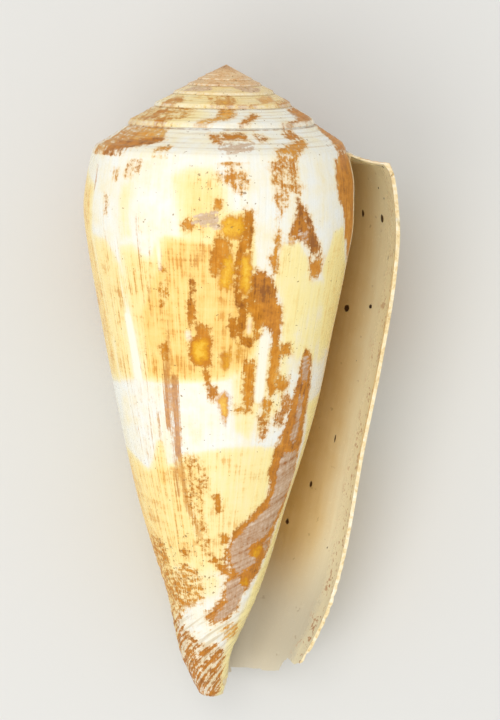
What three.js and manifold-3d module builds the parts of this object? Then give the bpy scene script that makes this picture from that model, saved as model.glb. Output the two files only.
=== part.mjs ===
import * as THREE from "three";
import { mergeVertices } from "three/addons/utils/BufferGeometryUtils.js";
import Module from "manifold-3d";

// A cone shell, grown as one piece: a low stepped spire, a long tapering last whorl, a slit mouth.
// Millimetres. Angles along the coil are counted in turns: 0 at the lip, negative back to the apex.
// Depth runs down the coiling axis, from 0 at the apex to SHELL_LENGTH at the front tip.

const SHELL_LENGTH = 60;
const FULL_TURN = 2 * Math.PI;

// Spire: radius and depth of the shoulder edge along the coil
const LIP_SHOULDER_RADIUS = 15.5;
const GROWTH_PER_TURN = 0.309;
const SIDE_SWING = 0.036;
const SPIRE_SLOPE = 0.46;
const SPIRE_CURVE = 0.0155;
const LIP_LIFT = 1.25;
const LIP_LIFT_START = -0.45;
const INNER_WHORLS = 6;
const CAP_TURNS = 0.4;

// Step under each shoulder edge, where the next whorl is joined on
const SUTURE_DROP_SHARE = 0.042;
const SUTURE_SET_BACK = 0.04;
const RAMP_SAG_SPIRE = 0.02;
const RAMP_SAG_LIP = 0.3;

// Side wall of the last whorl on three sides: [share of the way from shoulder to tip, radius]
const RIGHT_WALL = [
  [0, 11.35],
  [0.0707, 12.2],
  [0.132, 12.24],
  [0.217, 11.61],
  [0.34, 10.45],
  [0.446, 9.46],
  [0.55, 8.1],
  [0.65, 6.52],
  [0.745, 5.2],
  [0.82, 3.92],
  [0.887, 2.42],
  [0.918, 1.72],
  [0.943, 1.48],
  [0.966, 1.42],
  [0.985, 1.1],
  [0.995, 0.7],
];
const LEFT_WALL = [
  [0, 12.35],
  [0.049, 12.85],
  [0.104, 13.15],
  [0.178, 12.7],
  [0.27, 11.78],
  [0.4545, 9.8],
  [0.638, 7.53],
  [0.729, 6.07],
  [0.822, 4.45],
  [0.888, 3.68],
  [0.934, 3.02],
  [0.957, 2.42],
  [0.985, 1.55],
  [0.995, 0.95],
];
const LIP_WALL = [
  [0, 15.5],
  [0.02, 15.95],
  [0.0615, 16.35],
  [0.137, 16.67],
  [0.212, 16.45],
  [0.365, 15.4],
  [0.534, 13.9],
  [0.722, 12.45],
  [0.817, 11.3],
  [0.887, 9.95],
  [0.927, 8.9],
  [0.95, 7.9],
  [0.965, 6],
  [0.976, 3.4],
  [0.988, 1.5],
  [0.995, 0.8],
];

// Slight flattening of the back of the shell, on which it lies
const BACK_TURN = -0.2695;
const BACK_FLATTENING = 0.05;
const BACK_HARDNESS = 90;
const BACK_LEAN_STEP = 0.01;
const BACK_LEAN_STEPS = 6;

// Low ridges round the front end
const RIDGE_HEIGHT = 0.035;
const RIDGE_FIRST = 0.79;
const RIDGE_LAST = 0.985;
const RIDGE_COUNT = 8;
const LAST_ROW = 0.995;

// Lip edge: how far it swings back along the coil, in turns, by share of the wall
const LIP_SWEEP = [
  [0, 0],
  [0.03, -0.004],
  [0.1, -0.002],
  [0.3, 0.004],
  [0.6, 0.006],
  [0.8, 0],
  [0.9, -0.006],
  [0.985, -0.006],
];
const NOTCH_DEPTH = 0.012;

// Mouth hollow: thin at the lip, thicker inside, wound back round the core
const LIP_THICKNESS = 0.42;
const WALL_THICKNESS = 0.95;
const THICKENING_TURNS = 0.22;
const CALLUS_STEP = 0.13;
const HOLLOW_START = 0.03;
const HOLLOW_END = -1.45;
const CORE_DRAW_IN = 0.95;
const CORE_DRAW_FROM = 28;
const CORE_DRAW_TO = 54;
const HOLLOW_HELD_SHARE = 0.947;
const HOLLOW_LEAST_WIDTH = 0.25;
const HOLLOW_ROWS = [0.015, 0.07, 0.15, 0.25, 0.35, 0.45, 0.55, 0.65, 0.75, 0.84, 0.92, 1];

// How far down the hollow reaches: [turn, depth], open through the front end near the lip
const HOLLOW_FLOOR = [
  [-1.45, 36],
  [-1, 46],
  [-0.6, 53],
  [-0.42, 54.5],
  [-0.28, 62],
  [0.03, 62],
];

// Broken front edge of the lip, looking down on the mouth: [distance right of the axis, depth]
const BROKEN_EDGE = [
  [16, 50],
  [11.1, 51.7],
  [10.62, 52.4],
  [10.5, 52.9],
  [9.95, 54.3],
  [9.3, 55.3],
  [8.95, 56.6],
  [8.2, 57.4],
  [7.1, 56.75],
  [6.5, 57.8],
  [5.5, 58.4],
  [4.6, 57.95],
  [3.7, 57.9],
  [1.75, 57.7],
  [1.75, 66],
  [16, 66],
];

// How the shell lies: roll about its long axis and lift of the apex, in degrees
const REST_ROLL = -7.3;
const REST_PITCH = 9.9;

const SHELL_COLOUR = 0xe9dcc0;
const SHELL_ROUGHNESS = 0.45;

// Fineness of the surface
const COLUMNS = 64;
const HOLLOW_STEP = 1 / 30;
const RAMP_ROWS = [0, 0.5, 1];
const UPPER_ROWS = [0.03, 0.062, 0.1, 0.14, 0.185, 0.235, 0.29, 0.35, 0.415, 0.48, 0.545, 0.61, 0.67, 0.73];
const CUT_HEIGHT = 60;
const WELD = 1e-4;

function smooth(from, to, value) {
  const share = Math.min(1, Math.max(0, (value - from) / (to - from)));
  return share * share * (3 - 2 * share);
}

// Smooth curve through [place, value] points without overshoot
function along(points, place) {
  const last = points.length - 1;
  if (place <= points[0][0]) {
    return points[0][1];
  }
  if (place >= points[last][0]) {
    return points[last][1];
  }
  let i = 0;
  while (place > points[i + 1][0]) {
    i += 1;
  }
  const rise = (k) => (points[k + 1][1] - points[k][1]) / (points[k + 1][0] - points[k][0]);
  const slopeAt = (k) => {
    if (k === 0) {
      return rise(0);
    }
    if (k === last) {
      return rise(last - 1);
    }
    const before = rise(k - 1);
    const after = rise(k);
    return before * after <= 0 ? 0 : (2 * before * after) / (before + after);
  };
  const span = points[i + 1][0] - points[i][0];
  const u = (place - points[i][0]) / span;
  const v = 1 - u;
  return (
    points[i][1] * v * v * (1 + 2 * u) +
    points[i + 1][1] * u * u * (1 + 2 * v) +
    slopeAt(i) * span * u * v * v -
    slopeAt(i + 1) * span * v * u * u
  );
}

function shoulderRadius(turn) {
  const swing = SIDE_SWING * (Math.cos(FULL_TURN * turn) - 1);
  return LIP_SHOULDER_RADIUS * Math.exp(GROWTH_PER_TURN * turn + swing);
}

function shoulderDepth(turn) {
  const r = shoulderRadius(turn);
  return SPIRE_SLOPE * r + SPIRE_CURVE * r * r - LIP_LIFT * smooth(LIP_LIFT_START, 0, turn);
}

// Start of a whorl's ramp: just under the shoulder edge one turn earlier
function suturePoint(turn) {
  const r = shoulderRadius(turn - 1);
  const drop = SUTURE_DROP_SHARE * r;
  return [r + SUTURE_SET_BACK, shoulderDepth(turn - 1) + drop];
}

function rampPoint(turn, share) {
  const [r0, a0] = suturePoint(turn);
  const r1 = shoulderRadius(turn);
  const a1 = shoulderDepth(turn);
  const sag = THREE.MathUtils.lerp(RAMP_SAG_SPIRE, RAMP_SAG_LIP, smooth(LIP_LIFT_START, 0, turn));
  const r = THREE.MathUtils.lerp(r0, r1, share);
  const a = THREE.MathUtils.lerp(a0, a1, share) + sag * Math.sin(Math.PI * share);
  return [r, a];
}

function ridgeAt(share) {
  if (share < RIDGE_FIRST || share > RIDGE_LAST) {
    return 0;
  }
  const phase = (share - RIDGE_FIRST) / (RIDGE_LAST - RIDGE_FIRST);
  return -RIDGE_HEIGHT * Math.cos(FULL_TURN * RIDGE_COUNT * phase) * Math.sin(Math.PI * phase);
}

// Side wall of the last whorl: blends the three measured sides round the turn
function roundRadius(turn, share) {
  const right = Math.log(along(RIGHT_WALL, share) / RIGHT_WALL[0][1]);
  const left = Math.log(along(LEFT_WALL, share) / LEFT_WALL[0][1]);
  const lip = Math.log(along(LIP_WALL, share) / LIP_WALL[0][1]);
  const trend = lip - right;
  const swing = (lip - trend / 2 - left) / 2;
  const shape = lip + trend * turn + swing * (Math.cos(FULL_TURN * turn) - 1);
  return shoulderRadius(turn) * Math.exp(shape);
}

// Distance from the axis to the soft flat on the back
function backLevel(share) {
  let level = 0;
  for (let i = 0; i <= BACK_LEAN_STEPS; i += 1) {
    const lean = i * BACK_LEAN_STEP;
    level = Math.max(level, roundRadius(BACK_TURN + lean, share) * Math.cos(FULL_TURN * lean));
  }
  return level * (1 - BACK_FLATTENING);
}

function wallRadius(turn, share) {
  const round = roundRadius(turn, share);
  const facing = Math.cos(FULL_TURN * (turn - BACK_TURN));
  const excess = facing > 0 ? (round * facing) / backLevel(share) : 0;
  const flattened = round * (1 + excess ** BACK_HARDNESS) ** (-1 / BACK_HARDNESS);
  return flattened + ridgeAt(share);
}

function wallPoint(turn, share) {
  const a0 = shoulderDepth(turn);
  return [wallRadius(turn, share), a0 + share * (SHELL_LENGTH - a0)];
}

// The mouth is open towards +X; the coil runs back from it under the shell
function place(radius, depth, turn) {
  const angle = FULL_TURN * turn;
  return new THREE.Vector3(radius * Math.cos(angle), -depth, radius * Math.sin(angle));
}

function notchAt(share) {
  return -NOTCH_DEPTH * Math.sin(Math.PI * share) ** 2;
}

// Rows of the side wall, from under the shoulder to the front tip
function wallShares() {
  const ridged = [];
  for (let i = 0; i <= 2 * RIDGE_COUNT; i += 1) {
    ridged.push(THREE.MathUtils.lerp(RIDGE_FIRST, RIDGE_LAST, i / (2 * RIDGE_COUNT)));
  }
  return [...UPPER_ROWS, ...ridged, LAST_ROW];
}

// The innermost ramp grows out of a small round cap
function innermostPoint(turn, share) {
  const start = -1 - INNER_WHORLS;
  const [rimRadius, rimDepth] = suturePoint(start + 1);
  const grown = smooth(start, start + CAP_TURNS, turn);
  const [r, a] = rampPoint(turn, share);
  if (share === 0) {
    return place(rimRadius, rimDepth, turn);
  }
  const radius = THREE.MathUtils.lerp(rimRadius, r, grown);
  const depth = THREE.MathUtils.lerp(rimDepth, a, grown);
  return place(radius, depth, turn + grown * notchAt(share));
}

// Every row runs once round the coil, from one turn behind the lip up to it
function skinRows() {
  const rows = [];
  const addRow = (pointAt) => {
    const row = [];
    for (let column = 0; column <= COLUMNS; column += 1) {
      row.push(pointAt(column / COLUMNS - 1));
    }
    rows.push(row);
  };
  for (let whorl = INNER_WHORLS; whorl >= 0; whorl -= 1) {
    for (const share of RAMP_ROWS) {
      addRow((turn) => {
        if (whorl === INNER_WHORLS) {
          return innermostPoint(turn - whorl, share);
        }
        const [r, a] = rampPoint(turn - whorl, share);
        return place(r, a, turn + notchAt(share));
      });
    }
  }
  addRow((turn) => {
    const [r, a] = suturePoint(turn + 1);
    return place(r, a, turn);
  });
  for (const share of wallShares()) {
    addRow((turn) => {
      const swept = turn + along(LIP_SWEEP, share);
      const [r, a] = wallPoint(swept, share);
      return place(r, a, swept);
    });
  }
  return rows;
}

// Outer body of the shell, still solid, with a step face at the mouth
function outerBody() {
  const rows = skinRows();
  const rampRows = (INNER_WHORLS + 1) * RAMP_ROWS.length;
  const apex = new THREE.Vector3(0, 0, 0);
  const tip = new THREE.Vector3(0, -SHELL_LENGTH, 0);
  const faces = [];
  for (let column = 0; column < COLUMNS; column += 1) {
    faces.push([apex, rows[0][column + 1], rows[0][column]]);
    const last = rows[rows.length - 1];
    faces.push([tip, last[column], last[column + 1]]);
    for (let i = 0; i + 1 < rows.length; i += 1) {
      const [a, b] = [rows[i][column], rows[i][column + 1]];
      const [c, d] = [rows[i + 1][column], rows[i + 1][column + 1]];
      faces.push([a, b, c], [b, d, c]);
    }
  }
  // Step face between the lip and the wall one turn earlier
  const lip = rows.map((row) => row[COLUMNS]);
  const inner = rows.map((row) => row[0]);
  const start = rampRows - RAMP_ROWS.length;
  for (let i = start + 1; i <= rampRows; i += 1) {
    faces.push([lip[start], lip[i + 1], lip[i]]);
  }
  faces.push([lip[start], inner[rampRows + 1], lip[rampRows + 1]]);
  for (let i = rampRows + 1; i + 1 < rows.length; i += 1) {
    faces.push([inner[i], inner[i + 1], lip[i]], [inner[i + 1], lip[i + 1], lip[i]]);
  }
  faces.push([inner[rows.length - 1], tip, lip[rows.length - 1]]);
  return geometryOf(faces);
}

// Core wound inside the last whorl: the wall one turn earlier, drawn in towards the front
function coreRadius(turn, depth) {
  const a0 = shoulderDepth(turn - 1);
  const share = Math.max(0, (depth - a0) / (SHELL_LENGTH - a0));
  const drawn = CORE_DRAW_IN * smooth(CORE_DRAW_FROM, CORE_DRAW_TO, depth);
  const ratio = along(RIGHT_WALL, share) / RIGHT_WALL[0][1];
  return shoulderRadius(turn - 1) * ratio * Math.exp(drawn * turn);
}

function outerRadiusAt(turn, depth) {
  if (turn <= -1) {
    return coreRadius(turn + 1, depth);
  }
  const share = (depth - shoulderDepth(turn)) / (SHELL_LENGTH - shoulderDepth(turn));
  return wallRadius(turn, Math.min(HOLLOW_HELD_SHARE, Math.max(0, share)));
}

function thicknessAt(turn) {
  return THREE.MathUtils.lerp(LIP_THICKNESS, WALL_THICKNESS, smooth(0, -THICKENING_TURNS, turn));
}

// Closed outline of the hollow in one half-plane through the axis
function hollowOutline(turn) {
  const thick = thicknessAt(turn);
  const floor = along(HOLLOW_FLOOR, turn);
  const innerTop = suturePoint(turn)[1] + thick;
  const outerTop = shoulderDepth(turn) + thick;
  const outline = [];
  for (const share of HOLLOW_ROWS) {
    const depth = THREE.MathUtils.lerp(innerTop, floor, share);
    outline.push([coreRadius(turn, depth) + CALLUS_STEP, depth]);
  }
  outline.reverse();
  const [midRadius, midDepth] = rampPoint(turn, 0.5);
  outline.push([midRadius, midDepth + thick]);
  for (const share of HOLLOW_ROWS) {
    const depth = THREE.MathUtils.lerp(outerTop, floor, share);
    const inside = coreRadius(turn, depth) + CALLUS_STEP + HOLLOW_LEAST_WIDTH;
    outline.push([Math.max(inside, outerRadiusAt(turn, depth) - thick), depth]);
  }
  return outline;
}

function hollow() {
  const steps = Math.round((HOLLOW_START - HOLLOW_END) / HOLLOW_STEP);
  const rings = [];
  for (let i = 0; i <= steps; i += 1) {
    const turn = THREE.MathUtils.lerp(HOLLOW_END, HOLLOW_START, i / steps);
    rings.push(hollowOutline(turn).map(([r, a]) => place(r, a, turn)));
  }
  const faces = [];
  const count = rings[0].length;
  for (let i = 0; i < steps; i += 1) {
    for (let k = 0; k < count; k += 1) {
      const next = (k + 1) % count;
      const [a, b] = [rings[i][k], rings[i][next]];
      const [c, d] = [rings[i + 1][k], rings[i + 1][next]];
      faces.push([a, c, b], [b, c, d]);
    }
  }
  // The two end caps are strips between the core side and the wall side
  const capStrip = (ring, turned) => {
    const quad = (p, q, s) => faces.push(turned ? [p, s, q] : [p, q, s]);
    const half = HOLLOW_ROWS.length;
    quad(ring[half - 1], ring[half], ring[half + 1]);
    for (let k = 0; k + 1 < half; k += 1) {
      const [innerLow, innerHigh] = [ring[k], ring[k + 1]];
      const [outerLow, outerHigh] = [ring[count - 1 - k], ring[count - 2 - k]];
      quad(innerLow, innerHigh, outerLow);
      quad(innerHigh, outerHigh, outerLow);
    }
  };
  capStrip(rings[0], false);
  capStrip(rings[steps], true);
  return geometryOf(faces);
}

function brokenEdgeCut() {
  const outline = new THREE.Shape(BROKEN_EDGE.map(([x, depth]) => new THREE.Vector2(x, -depth)));
  const cut = new THREE.ExtrudeGeometry(outline, { depth: CUT_HEIGHT, bevelEnabled: false });
  return cut.translate(0, 0, -CUT_HEIGHT / 2);
}

function geometryOf(faces) {
  const numbers = faces.flatMap((face) => face.flatMap((corner) => corner.toArray()));
  const geometry = new THREE.BufferGeometry();
  return geometry.setAttribute("position", new THREE.Float32BufferAttribute(numbers, 3));
}

const wasm = await Module();
wasm.setup();

function solidOf(geometry) {
  const bare = geometry.index ? geometry.toNonIndexed() : geometry;
  bare.deleteAttribute("normal");
  bare.deleteAttribute("uv");
  const welded = mergeVertices(bare, WELD);
  const index = welded.index.array;
  const kept = [];
  for (let i = 0; i < index.length; i += 3) {
    const [a, b, c] = [index[i], index[i + 1], index[i + 2]];
    if (a !== b && b !== c && a !== c) {
      kept.push(a, b, c);
    }
  }
  const vertProperties = welded.attributes.position.array;
  const triVerts = new Uint32Array(kept);
  return new wasm.Manifold(new wasm.Mesh({ numProp: 3, vertProperties, triVerts }));
}

function meshGeometry(solid) {
  const mesh = solid.getMesh();
  const geometry = new THREE.BufferGeometry();
  geometry.setAttribute("position", new THREE.Float32BufferAttribute(mesh.vertProperties, 3));
  geometry.setIndex(new THREE.Uint32BufferAttribute(mesh.triVerts, 1));
  return geometry;
}

// Turns the shell to the way it lies and sets it down on the ground plane
function settle(geometry) {
  geometry.rotateY(THREE.MathUtils.degToRad(REST_ROLL));
  geometry.rotateX(THREE.MathUtils.degToRad(REST_PITCH));
  geometry.computeBoundingBox();
  const { min, max } = geometry.boundingBox;
  geometry.translate(-(min.x + max.x) / 2, -(min.y + max.y) / 2, -min.z);
  return geometry;
}

function buildShell() {
  const body = solidOf(outerBody());
  const opened = body.subtract(solidOf(hollow()));
  const broken = opened.subtract(solidOf(brokenEdgeCut()));
  const geometry = settle(meshGeometry(broken));
  geometry.computeVertexNormals();
  const finish = new THREE.MeshStandardMaterial({
    color: SHELL_COLOUR,
    roughness: SHELL_ROUGHNESS,
    metalness: 0,
    flatShading: true,
  });
  const mesh = new THREE.Mesh(geometry, finish);
  mesh.name = "shell";
  return mesh;
}

const part = new THREE.Group();
part.add(buildShell());

export default part;
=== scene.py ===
import math

import bpy
import numpy as np
from mathutils import Matrix, Vector


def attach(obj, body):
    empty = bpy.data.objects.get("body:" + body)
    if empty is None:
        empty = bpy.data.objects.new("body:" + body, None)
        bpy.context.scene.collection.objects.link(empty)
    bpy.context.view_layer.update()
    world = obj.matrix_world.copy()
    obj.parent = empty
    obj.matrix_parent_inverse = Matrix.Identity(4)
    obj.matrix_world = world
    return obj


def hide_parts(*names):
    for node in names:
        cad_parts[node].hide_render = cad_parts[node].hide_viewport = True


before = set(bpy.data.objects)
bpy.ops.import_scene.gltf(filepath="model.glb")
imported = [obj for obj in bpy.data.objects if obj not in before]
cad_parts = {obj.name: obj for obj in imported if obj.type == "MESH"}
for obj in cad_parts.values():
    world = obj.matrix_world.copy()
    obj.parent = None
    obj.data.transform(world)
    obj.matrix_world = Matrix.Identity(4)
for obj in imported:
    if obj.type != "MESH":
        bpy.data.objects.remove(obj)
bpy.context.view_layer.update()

# Magician cone shell, lying on its back with the mouth up.
# The shape is worked out in millimetres and turned into metres when a mesh is made.
# Turns run along the coil: 0 at the lip, -1 one turn earlier on the wall beside the mouth.
# Depth runs down the coiling axis, from 0 at the apex to SHELL_LENGTH at the front tip.

MM = 0.001
FULL_TURN = 2 * math.pi
SHELL_LENGTH = 60

# Spire: radius and depth of the shoulder edge along the coil
LIP_SHOULDER_RADIUS = 15.5
GROWTH_PER_TURN = 0.309
SIDE_SWING = 0.036
SPIRE_SLOPE = 0.46
SPIRE_CURVE = 0.0155
LIP_LIFT = 1.55
LIP_LIFT_START = -0.45
LIP_FLARE = 0.6
LIP_FLARE_START = -0.042
SPIRE_TILT = 0.034
INNER_WHORLS = 6
CAP_TURNS = 0.4
SUTURE_DROP_SHARE = 0.052
SUTURE_SET_BACK = 0.04
RAMP_SAG_SPIRE = 0.02
RAMP_SAG_LIP = 0.28

# Side wall of the last whorl on three sides: share of the way from shoulder to tip, radius
RIGHT_WALL = [
    (0, 11.35), (0.0707, 12.2), (0.132, 12.24), (0.217, 11.61), (0.34, 10.45), (0.446, 9.46),
    (0.55, 8.1), (0.65, 6.52), (0.745, 5.2), (0.82, 3.92), (0.887, 2.42), (0.918, 1.72),
    (0.943, 1.48), (0.966, 1.42), (0.985, 1.22), (0.995, 1),
]
LEFT_WALL = [
    (0, 12.35), (0.049, 12.85), (0.104, 13.15), (0.178, 12.7), (0.27, 11.78), (0.4545, 9.8),
    (0.638, 7.53), (0.729, 6.07), (0.822, 4.45), (0.888, 3.68), (0.934, 3.02), (0.957, 2.42),
    (0.985, 1.7), (0.995, 1.35),
]
LIP_WALL = [
    (0, 15.5), (0.02, 15.95), (0.0615, 16.35), (0.137, 16.67), (0.212, 16.45), (0.365, 15.4),
    (0.534, 13.9), (0.722, 12.45), (0.817, 11.3), (0.887, 9.95), (0.927, 8.9), (0.955, 8.1),
    (0.978, 7.1), (0.987, 5), (0.992, 1.8), (0.995, 1.1),
]
BACK_TURN = -0.2695
BACK_FLATTENING = 0.05
BACK_HARDNESS = 90
BACK_LEAN_STEP = 0.01
BACK_LEAN_STEPS = 6

# Lip edge: how far it swings back along the coil, in turns, by share of the wall
LIP_SWEEP = [
    (0, 0), (0.03, -0.004), (0.1, -0.002), (0.3, 0.004), (0.6, 0.006), (0.8, 0), (0.9, -0.006),
    (0.985, -0.006),
]
NOTCH_DEPTH = 0.006

# Mouth hollow: thin at the lip, thicker inside, wound back round the core
LIP_THICKNESS = 0.34
WALL_THICKNESS = 0.95
THICKENING_TURNS = 0.22
CALLUS_STEP = 0.03
ROOF_THINNING = 0.6
HOLLOW_START = 0.03
HOLLOW_END = -1.45
CORE_DRAW_IN = 0.95
CORE_DRAW_FROM = 28
CORE_DRAW_TO = 54
HOLLOW_HELD_SHARE = 0.947
HOLLOW_LEAST_WIDTH = 0.25
HOLLOW_FLOOR = [(-1.45, 36), (-1, 46), (-0.6, 53), (-0.42, 54.5), (-0.28, 62), (0.03, 62)]

# Broken front edge of the lip, looking down on the mouth: distance right of the axis, depth
BROKEN_EDGE = [
    (16, 50), (11.3, 51.5), (10.95, 51.75), (10.75, 52.3), (10.2, 53.3), (9.95, 54.1), (9.45, 55.3),
    (8.85, 55.8), (8.65, 56.4), (8.3, 56.7), (7.7, 57), (7.25, 57.05), (6.75, 56.7), (6.3, 57.3),
    (5.95, 58.2), (5.35, 58.9), (4.75, 58.75), (4.15, 58.35), (3.1, 58.2), (1.2, 58.2), (1.2, 66),
    (16, 66),
]
CUT_HALF_HEIGHT = 30
CUT_ROUGHNESS = 0.13

# How the shell lies
REST_ROLL = math.radians(7.3)
REST_PITCH = math.radians(9.9)
REST_SHIFT = np.array([-1.7444, 29.5533, 16.6974])

# Colour marks. Places are (degrees behind the lip, depth in mm) on the wall and
# (degrees behind the lip, share of the way from suture to shoulder edge) on the spire's ramps.
DEGREES = 360
# The wall turns away from the camera between these places, and the ramps between these
WALL_HIDDEN = (172, 158)
RAMP_SEEN = (195, 205)
# Streaks along the left outline: where they start and end
LEFT_STREAKS = (208, 216, 244, 252)
LEFT_STREAKS_STRENGTH = 0.26

# Yellow stain: strength, softness of the edge in mm, outline
YELLOW_AREAS = [
    (0.72, 1.1, [(150, 12.8), (158, 10.4), (170, 11.9), (184, 9.6), (197, 10.6), (208, 11.2), (207, 14),
        (205, 16), (208, 20), (211, 24), (210, 29.3), (193, 29.5), (180, 27.6), (166, 30.4),
        (150, 28.6)]),
    (0.55, 0.9, [(205, 15.6), (219, 16), (227, 18), (231, 20.5), (227, 22), (226, 28.8), (211, 29.3),
        (206, 22)]),
    (0.6, 1, [(229, 16.4), (237, 16), (241, 17), (246, 17), (250, 15.4), (254, 15), (254, 28.6),
        (234, 28.7), (232.4, 25), (229.5, 21)]),
    (0.8, 0.6, [(250, 17), (253, 15), (268, 15), (276, 15.6), (290, 21), (291, 26.5), (283, 28),
        (272, 28.3), (250, 28.6), (236, 28.7), (237, 22)]),
    (0.66, 1.7, [(257, 9.6), (262, 8.8), (272, 8.9), (277, 10), (279, 12.5), (277, 15.5), (262, 15.5),
        (259.5, 12), (258, 10)]),
    (0.82, 0.8, [(273, 14.5), (277, 12.6), (289, 12.5), (291, 16), (292, 20), (297, 22), (296, 25.5),
        (289, 27.5), (272, 28), (268, 20)]),
    (0.3, 1, [(229, 10.5), (237, 10), (238, 15.5), (228, 16)]),
    (0.44, 0.7, [(303, 15.4), (312, 15.3), (318, 17), (322, 19), (334, 19.2), (336, 21.6), (322, 21.8),
        (318, 23), (318, 26), (309, 25.6), (306.5, 21), (301, 19)]),
    (0.32, 0.9, [(307, 24), (318, 23), (316, 31), (300, 34), (296, 26), (302, 25)]),
    (0.34, 1.2, [(311, 20.5), (330, 20.2), (346, 24), (352, 27), (338, 27.5), (318, 26.5)]),
    (0.62, 0.9, [(333, 14.8), (341, 14.4), (346, 16.5), (352, 18), (365, 19), (365, 26.5), (350, 26),
        (337, 26), (334, 22), (329, 18)]),
    (0.45, 1, [(284, 27), (299, 25), (301, 31), (296, 34), (286, 33)]),
    (0.62, 0.7, [(150, 36), (200, 36.3), (212, 36.8), (226, 37.6), (232, 36.6), (238, 34.6), (242, 34.6),
        (243, 36.8), (250, 36.6), (256, 35.7), (262, 35.6), (262, 44), (255, 46.5), (235, 47),
        (215, 50.5), (190, 56), (150, 56)]),
    (0.82, 1.4, [(150, 36.5), (190, 36.5), (203, 37.5), (208, 41), (214, 45), (206, 50.5), (150, 54)]),
    (0.8, 0.7, [(230, 37), (243, 36.6), (242, 39.4), (232, 39.2)]),
    (0.5, 0.6, [(262, 35.4), (280, 34.8), (300, 34.6), (318, 35), (316, 38), (318, 40.2), (309, 41.2),
        (297, 42.8), (288, 44), (286, 47), (262, 47.5), (250, 47), (250, 43)]),
    (0.64, 1.5, [(255, 36), (272, 36), (276, 42), (270, 46), (255, 46)]),
    (0.5, 0.9, [(336, 31), (365, 30), (365, 60), (300, 60), (305, 54), (318, 52), (325, 49.5), (333, 47),
        (340, 44), (347, 40), (346, 34.5)]),
    (0.38, 1, [(205, 44), (240, 45), (262, 46), (285, 48), (282, 49.5), (240, 51), (200, 53)]),
]

# Clear amber stain: strength, outline
AMBER_AREAS = [
    (0.8, [(276.5, 13.2), (281, 12.6), (286.6, 12.8), (287.4, 14), (285, 15), (281, 15.2), (277, 14.6)]),
    (1, [(285.8, 16.4), (289.4, 16.2), (291, 17.6), (290.8, 19.6), (289, 20.4), (286.2, 19.6),
        (285.2, 18)]),
    (0.75, [(277, 16.8), (281.5, 15.6), (283.4, 16.4), (283.4, 19), (282, 19.8), (277, 19.6),
        (275.8, 18.8)]),
    (1, [(264, 24.6), (268, 24.2), (272, 24.4), (272, 26.2), (269, 26.7), (266, 26.9), (263.6, 26)]),
    (0.7, [(277, 25.6), (283, 25.2), (284.5, 26.6), (282, 27.4), (277.5, 27)]),
    (0.8, [(276, 29.8), (281.2, 29.2), (284.4, 30), (283.4, 31.1), (281, 32.8), (278.3, 31.4)]),
    (0.6, [(284.5, 24.6), (289.4, 24.8), (289, 26.4), (285, 26.4)]),
    (0.7, [(305.6, 14.8), (310, 14.4), (309.6, 15.7), (306, 15.5)]),
    (0.72, [(310.5, 44.9), (319.1, 44.3), (328, 44.9), (328, 45.8), (318.1, 46.2), (311, 45.8)]),
    (0.72, [(300.3, 48), (314, 47.6), (323, 48.3), (315.3, 49), (303.8, 48.7)]),
]

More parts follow.
